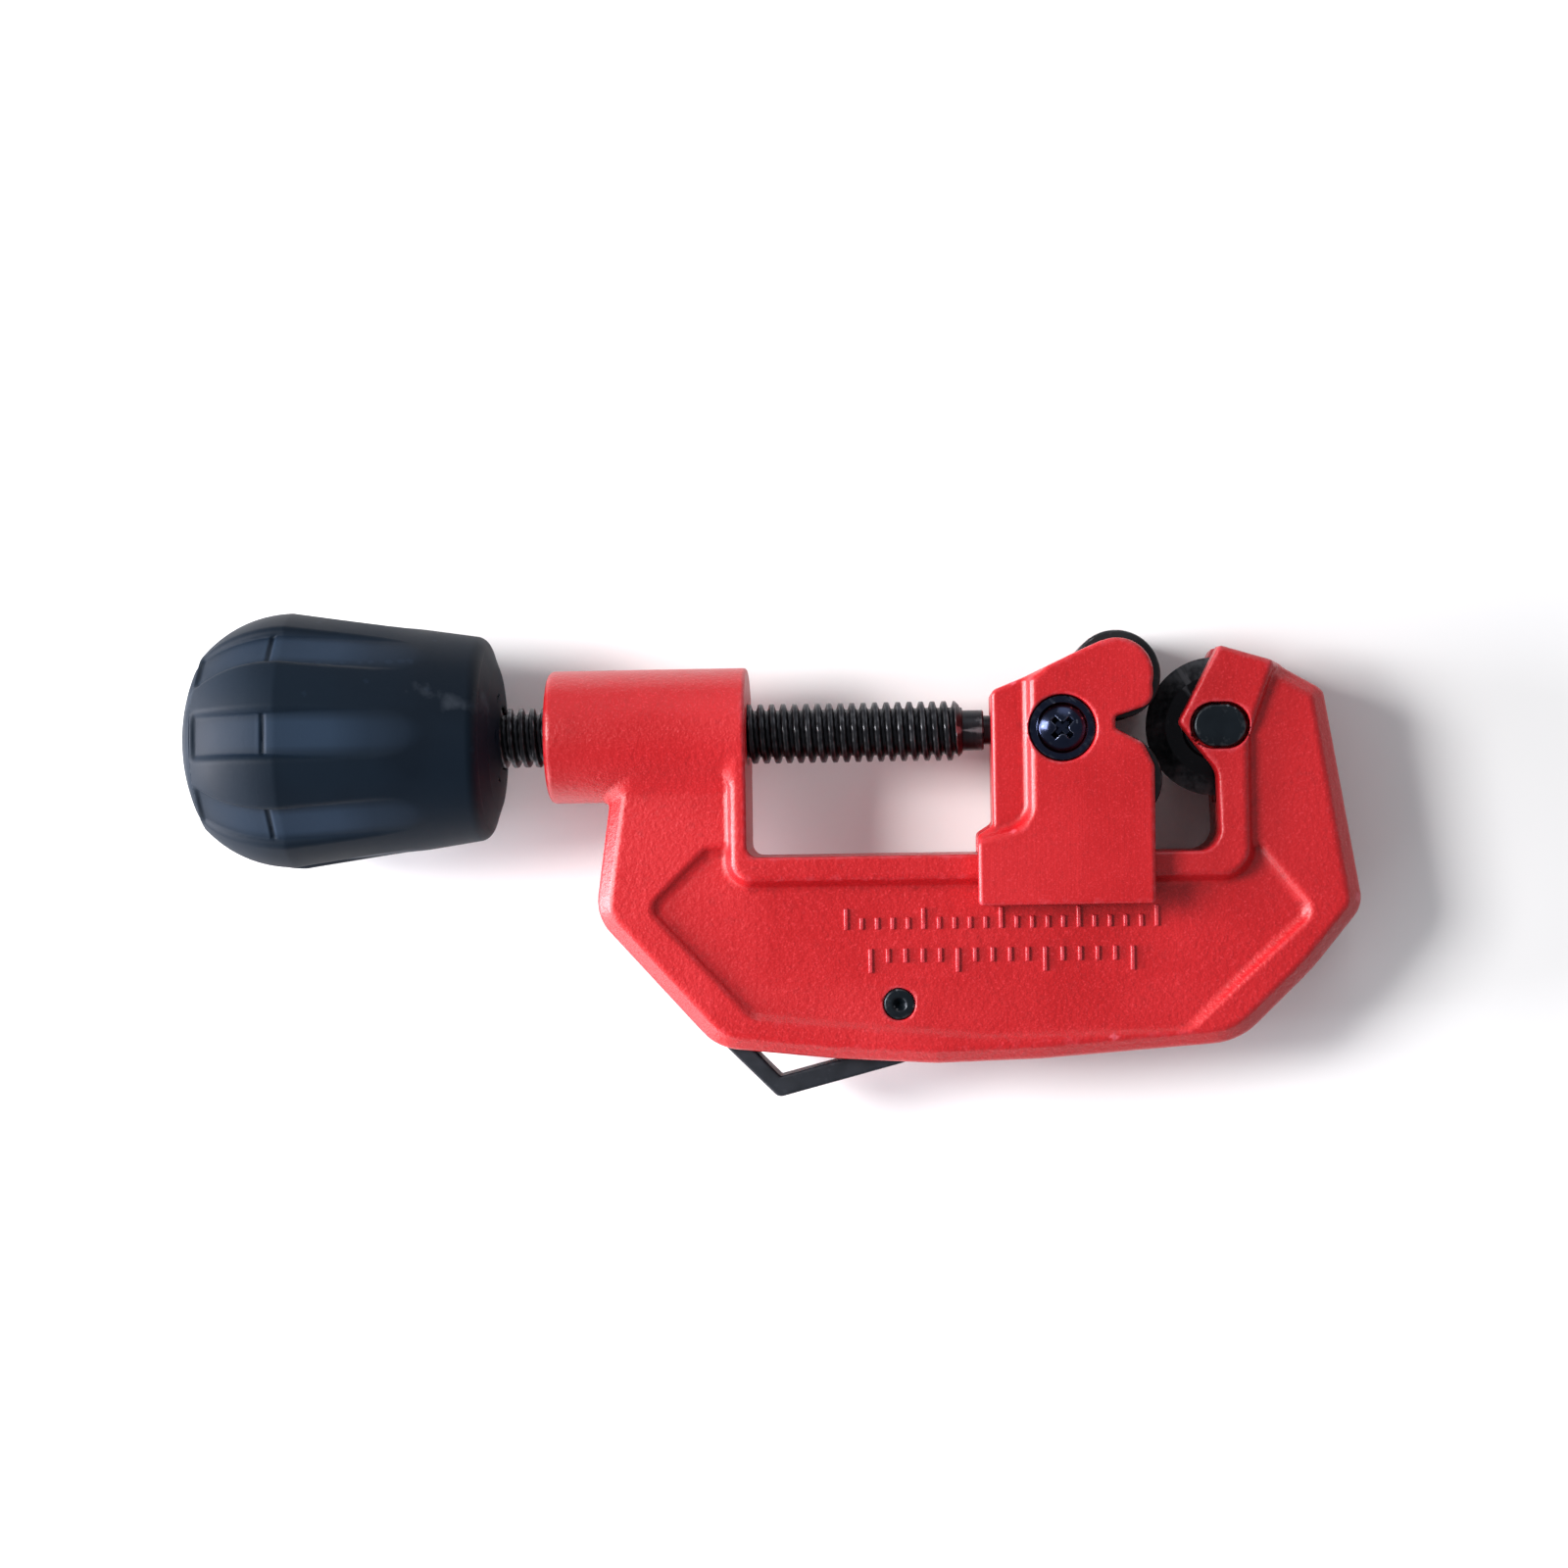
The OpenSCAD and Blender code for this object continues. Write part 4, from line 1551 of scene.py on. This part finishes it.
    def panel_place(self, y: Array, z: Array) -> tuple[Array, Array]:
        """Place across and out from the axis, within the nearest finger panel.

        Args:
            y: second coordinate.
            z: third coordinate.

        Returns:
            The distance across the panel and the distance out from the axis.
        """
        sector = 2 * math.pi / self.panels
        angle = np.arctan2(y, z) - math.radians(self.panel_phase)
        fold = (angle + sector / 2) % sector - sector / 2
        girth = np.hypot(y, z)
        return girth * np.sin(fold), girth * np.cos(fold)

    @staticmethod
    def hexagon(y: Array, z: Array, radius: float) -> Array:
        """Distance to a hexagonal bar that lies along the X axis with a corner up.

        Args:
            y: second coordinate.
            z: third coordinate.
            radius: radius of the hexagon's corners.

        Returns:
            The distance, negative inside.
        """
        side = radius * math.cos(math.pi / 6)
        turns = (0, math.pi / 3, -math.pi / 3)
        faces = [np.abs(y * math.cos(a) + z * math.sin(a)) - side for a in turns]
        return np.maximum(np.maximum(faces[0], faces[1]), faces[2])

    def thread_radius(self, x: Array, angle: Array) -> Array:
        """Radius of the threaded length.

        Args:
            x: place along the screw.
            angle: angle round it.

        Returns:
            The radius of the thread at each place.
        """
        crest, flank = 1.7, 4.4
        turn = (x / self.pitch - angle / (2 * math.pi)) % 1.0
        ridge = np.clip(crest - np.abs(turn - 0.5) * flank, 0, 1)
        ridge = ridge * ridge * (3 - 2 * ridge)
        return self.thread_r - self.thread_depth * (1 - ridge)

    def build_screw(self, shop: Workshop) -> None:
        """Makes the feed screw, with a helical thread.

        Args:
            shop: makes the piece.
        """
        knob_face, thread_end = -84.6, -23.8
        step, segments, run_out = 0.1, 72, 1.0
        neck_r, journal_r, groove_r, tip_r, tip = 1.9, 2.5, 1.6, 2.2, self.screw.high[0]
        tail = [
            (thread_end, self.spigot_r), (-21.3, self.spigot_r), (-21.1, 2.45), (-21.1, neck_r),
            (-20.0, neck_r), (-19.6, journal_r), (-12.3, journal_r), (-12.3, groove_r),
            (-10.1, groove_r), (-10.1, journal_r), (tip - 0.3, journal_r), (tip, tip_r), (tip, 0)]
        head = [(self.screw.low[0], 0), (self.screw.low[0], self.shank_r), (knob_face, self.shank_r)]
        along = np.arange(knob_face, thread_end, step)
        angle = np.linspace(0, 2 * math.pi, segments, endpoint=False)
        chamfer = np.clip((thread_end - along) + self.thread_r - run_out, 0, self.thread_r)
        thread = np.minimum(self.thread_radius(along[:, None], angle[None]), chamfer[:, None])
        x = np.concatenate([[p[0] for p in head], along, [p[0] for p in tail]])
        radius = np.vstack([
            np.repeat([[p[1]] for p in head], segments, 1), thread,
            np.repeat([[p[1]] for p in tail], segments, 1)])
        y, z = radius * np.cos(angle), radius * np.sin(angle)
        z[: len(head)] = np.minimum(z[: len(head)], self.flat_z)
        points = np.stack([np.broadcast_to(x[:, None], radius.shape), y, z], -1).reshape(-1, 3)
        i, j = np.meshgrid(np.arange(len(x) - 1), np.arange(segments), indexing="ij")
        j2 = (j + 1) % segments
        row, row2 = i * segments, (i + 1) * segments
        quads = np.stack([row + j, row2 + j, row2 + j2, row + j2], -1)
        shell = Shell(points, quads.reshape(-1, 4).tolist())
        shop.piece(shell, "feed_screw_thread", "feed", "black_oxide", "feed_screw")

    def build(self, shop: Workshop) -> None:
        """Makes the screw, the knob and what it holds.

        Args:
            shop: makes the pieces.
        """
        self.build_screw(shop)
        shell = Shell.skin(self.knob_field, self.knob.low, self.knob.high, self.cell)
        grip = shop.piece(shell, "knob_grip", "feed", "knob_plastic", "knob")
        self.paint_panel_sheen(grip.data)
        shop.dress("knob_insert", "insert_brass")
        washer = Span.of("knob_washer")
        left, right, inner, outer = washer.low[0], washer.high[0], 1.6, washer.half[1]
        profile = Outline.through(
            (left, inner, 0.1), (left, outer, 0.25), (right, outer, 0.1), (right, inner, 0.1))
        shell = Shell.turned(profile, 0, washer.centre)
        shop.piece(shell, "knob_retaining_washer", "feed", "bright_steel", "knob_washer")
        span = Span.of("knob_screw")
        shell = Shell.skin(self.cap_screw, span.low, span.high, self.cap_screw_cell)
        shop.piece(shell, "knob_cap_screw", "feed", "black_oxide", "knob_screw")

    def cap_screw(self, x: Array, y: Array, z: Array) -> Array:
        """Distance to the socket screw that holds the knob on.

        Args:
            x: first coordinate.
            y: second coordinate.
            z: third coordinate.

        Returns:
            The distance, negative inside.
        """
        span = Span.of("knob_screw")
        left, right = float(span.low[0]), float(span.high[0])
        girth = np.hypot(y, z)
        head = meet(girth - self.cap_screw_r, slab(x, left, left + self.cap_screw_head), 0.25)
        shank = meet(girth - self.cap_shank_r, slab(x, left + 2, right), 0.2)
        socket = np.maximum(self.hexagon(y, z, self.socket_r), x - left - self.socket_depth)
        return cut(np.minimum(head, shank), socket, 0.08)


@dataclass
class Cap:
    """The domed cap that closes the spare wheel's chamber."""

    dome_r: float = 24.2
    edge_r: float = 10.9
    plug_r: float = 9.35
    skirt_r: float = 8.1
    ledge_x: float = -123.22
    inside_x: float = -123.6

    def build(self, shop: Workshop) -> None:
        """Makes the cap.

        Args:
            shop: makes the piece.
        """
        span = Span.of("knob_cap")
        apex, end = float(span.low[0]), float(span.high[0])
        rim_x = apex + self.dome_r - math.sqrt(self.dome_r**2 - self.edge_r**2)
        dome = arc((apex + self.dome_r, 0), self.dome_r, 180, 154.3, 20)
        rim = np.array([
            [rim_x + 0.25, self.edge_r], [-123.35, self.edge_r], [self.ledge_x, self.edge_r - 0.15]])
        plug = np.array([
            [self.ledge_x, self.plug_r], [end - 0.3, self.plug_r], [end, self.plug_r - 0.3],
            [end, self.skirt_r + 0.2], [end - 0.2, self.skirt_r], [self.inside_x, self.skirt_r],
            [self.inside_x, 0]])
        profile = Outline(np.vstack([dome, rim, plug]))
        shell = Shell.turned(profile, 0, span.centre, 128)
        shop.piece(shell, "knob_end_cap", "cap", "knob_plastic", "knob_cap")


# ---- reamer ----------------------------------------------------------------------------------


@dataclass
class Reamer:
    """The bent steel strip that folds out to deburr a pipe."""

    thickness: float = 2.5
    leg_angle: float = 14.5
    bend: tuple[float, float] = (-48.35, -46.05)
    sweep_r: float = 5.0
    curl_end: float = 262.0
    curl_gap: float = 0.05
    width_z: tuple[float, float] = (-3.0, 2.0)
    cell: float = 0.22

    def __post_init__(self) -> None:
        """Works out the strip's outline round the pin."""
        pin = Span.of("reamer_pin")
        x, y = pin.centre[:2]
        curl_r = pin.half[0] + self.curl_gap + self.thickness / 2
        c, s = math.cos(math.radians(self.leg_angle)), math.sin(math.radians(self.leg_angle))
        sweep_x = x + curl_r - self.sweep_r
        sweep_y = self.bend[1] + (self.sweep_r + (sweep_x - self.bend[0]) * s) / c
        half = self.thickness / 2

        def side(offset: float) -> Array:
            """One side of the strip from the bend to the end of the curl.

            Args:
                offset: distance inward from the strip's middle.

            Returns:
                The points of that side.
            """
            sweep = arc((sweep_x, sweep_y), self.sweep_r - offset, self.leg_angle - 90, 0)
            return np.vstack([sweep, arc((x, y), curl_r - offset, 0, self.curl_end, 48)])

        tip = np.array([
            (-48.25, -44.72), (-58.2, -34.6), (-59.5, -34.2), (-59.9, -34.6), (-59.6, -36.6)])
        elbow = np.array(self.bend) + np.array([
            (-0.75, -0.95), (-0.42, -1.22), (0.0, -1.33), (0.38, -1.31)])
        self.outline = Outline(np.vstack([elbow, side(-half), side(half)[::-1], tip]))

    def field(self, x: Array, y: Array, z: Array) -> Array:
        """Distance to the strip, whose edges are all rounded alike; the grinding of its outer leg to an
        edge is not modelled.

        Args:
            x: first coordinate.
            y: second coordinate.
            z: third coordinate.

        Returns:
            The distance, negative inside.
        """
        return meet(self.outline.distance(x, y), slab(z, *self.width_z), 0.35)

    def build(self, shop: Workshop) -> None:
        """Makes the reamer.

        Args:
            shop: makes the piece.
        """
        span = Span.of("reamer")
        shell = Shell.skin(self.field, span.low, span.high, self.cell)
        shop.piece(shell, "reamer_blade", "reamer", "reamer_steel", "reamer")


# ---- studio ----------------------------------------------------------------------------------


@dataclass
class Studio:
    """The pale floor, the soft lights and the camera."""

    camera_mm: tuple[float, float, float] = (-28.0, -6.6, 386.0)
    aim_mm: tuple[float, float, float] = (-47.3, -6.6, 0.0)
    roll: float = 0.0165
    view_angle: float = 29.8
    floor_half: float = 2.0
    floor_gap: float = 0.05
    surround: float = 0.33
    light_aim: tuple[float, float, float] = (-0.045, -0.015, 0.0)

    def build(self) -> None:
        """Makes the camera, the floor and the lights, and keeps the paint's colour true."""
        self.build_camera()
        self.build_floor()
        self.build_lights()
        self.keep_colours()

    def build_camera(self) -> None:
        """Places the camera, straight above the front of the tool."""
        data = bpy.data.cameras.new("camera")
        data.angle = math.radians(self.view_angle)
        data.clip_start = 0.01
        camera = bpy.data.objects.new("camera", data)
        place, aim = Vector(self.camera_mm) * MM, Vector(self.aim_mm) * MM
        ahead = (aim - place).normalized()
        right = ahead.cross(Vector((0, 1, 0))).normalized()
        up = right.cross(ahead)
        side = right * math.cos(self.roll) - up * math.sin(self.roll)
        top = right * math.sin(self.roll) + up * math.cos(self.roll)
        turn = Matrix((side, top, -ahead)).transposed().to_4x4()
        camera.matrix_world = Matrix.Translation(place) @ turn
        bpy.context.scene.collection.objects.link(camera)
        bpy.context.scene.camera = camera

    def build_floor(self) -> None:
        """Makes the floor, which touches the knob and the back of the carriage."""
        knob, slide = Span.of("knob"), Span.of("slide")
        knob_x, knob_z = -111.2, float(knob.low[2])
        slide_x, slide_z = float(slide.high[0]), float(slide.low[2])
        slope = (slide_z - knob_z) / (slide_x - knob_x)
        level = knob_z - slope * knob_x - self.floor_gap
        steps = np.linspace(-self.floor_half, self.floor_half, 9) / MM
        x, y = np.meshgrid(steps, steps, indexing="ij")
        points = np.stack([x, y, level + slope * x], -1).reshape(-1, 3)
        count = len(steps)
        faces = [[i * count + j, (i + 1) * count + j, (i + 1) * count + j + 1, i * count + j + 1]
                 for i, j in product(range(count - 1), repeat=2)]
        floor = Shell(points, faces).to_object("floor")
        made = Material("pale_floor")
        cloud = made.wires.noise(made.place, 3.0, 2.0)
        made.feed("Base Color", made.wires.blend(cloud, (0.86, 0.86, 0.865), (0.90, 0.90, 0.90)))
        made.feed("Roughness", 0.9)
        floor.data.materials.append(made.result)

    def build_lights(self) -> None:
        """Places a key and two low lights at the left, a back light and a pale surround."""
        world = bpy.data.worlds.new("pale_surround")
        world.use_nodes = True
        sky = world.node_tree.nodes["Background"]
        sky.inputs["Color"].default_value = (0.92, 0.95, 1.0, 1.0)
        sky.inputs["Strength"].default_value = self.surround
        bpy.context.scene.world = world
        self.area_light("key", (-0.50, 0.09, 0.40), 4.6, 0.22, (1.0, 0.98, 0.97))
        self.area_light("window", (-0.62, -0.02, 0.07), 8.0, 0.26, (0.96, 0.94, 1.0))
        self.area_light("low", (-0.42, -0.36, 0.06), 1.7, 0.30, (0.97, 0.96, 1.0))
        self.area_light("back", (0.10, 0.62, 0.42), 0.9, 0.40, (0.95, 0.97, 1.0))

    def area_light(self, name: str, place: tuple, power: float, size: float, colour: Colour) -> None:
        """Places one square light that faces the tool.

        Args:
            name: name of the light.
            place: where it stands, in metres.
            power: its power in watts.
            size: its side in metres.
            colour: its colour.
        """
        data = bpy.data.lights.new(name, "AREA")
        data.energy = power
        data.size = size
        data.color = colour
        light = bpy.data.objects.new(name, data)
        ahead = Vector(self.light_aim) - Vector(place)
        light.location = place
        light.rotation_euler = ahead.to_track_quat("-Z", "Y").to_euler()
        bpy.context.scene.collection.objects.link(light)

    @staticmethod
    def keep_colours() -> None:
        """Shows the colours as they are, because the usual view turns strong red into pink."""
        bpy.context.scene.view_settings.view_transform = "Standard"


# ---- assembly --------------------------------------------------------------------------------


def build_tool() -> None:
    """Builds every sub-assembly of the pipe cutter and the studio round it."""
    logging.basicConfig(level=logging.INFO, format="%(name)s: %(message)s")
    shop = Workshop()
    assemblies = [
        FrameCasting(), Carriage(), Roller("upper_roller", "roller_upper"),
        Roller("lower_roller", "roller_lower"),
        Wheel("cutter_wheel", "cutting_wheel", "cutter", 2),
        Wheel("spare_wheel", "spare_cutting_wheel", "feed", 0), Feed(), Cap(), Reamer()]
    for assembly in assemblies:
        assembly.build(shop)
    Studio().build()


if __name__ == "__main__":
    build_tool()
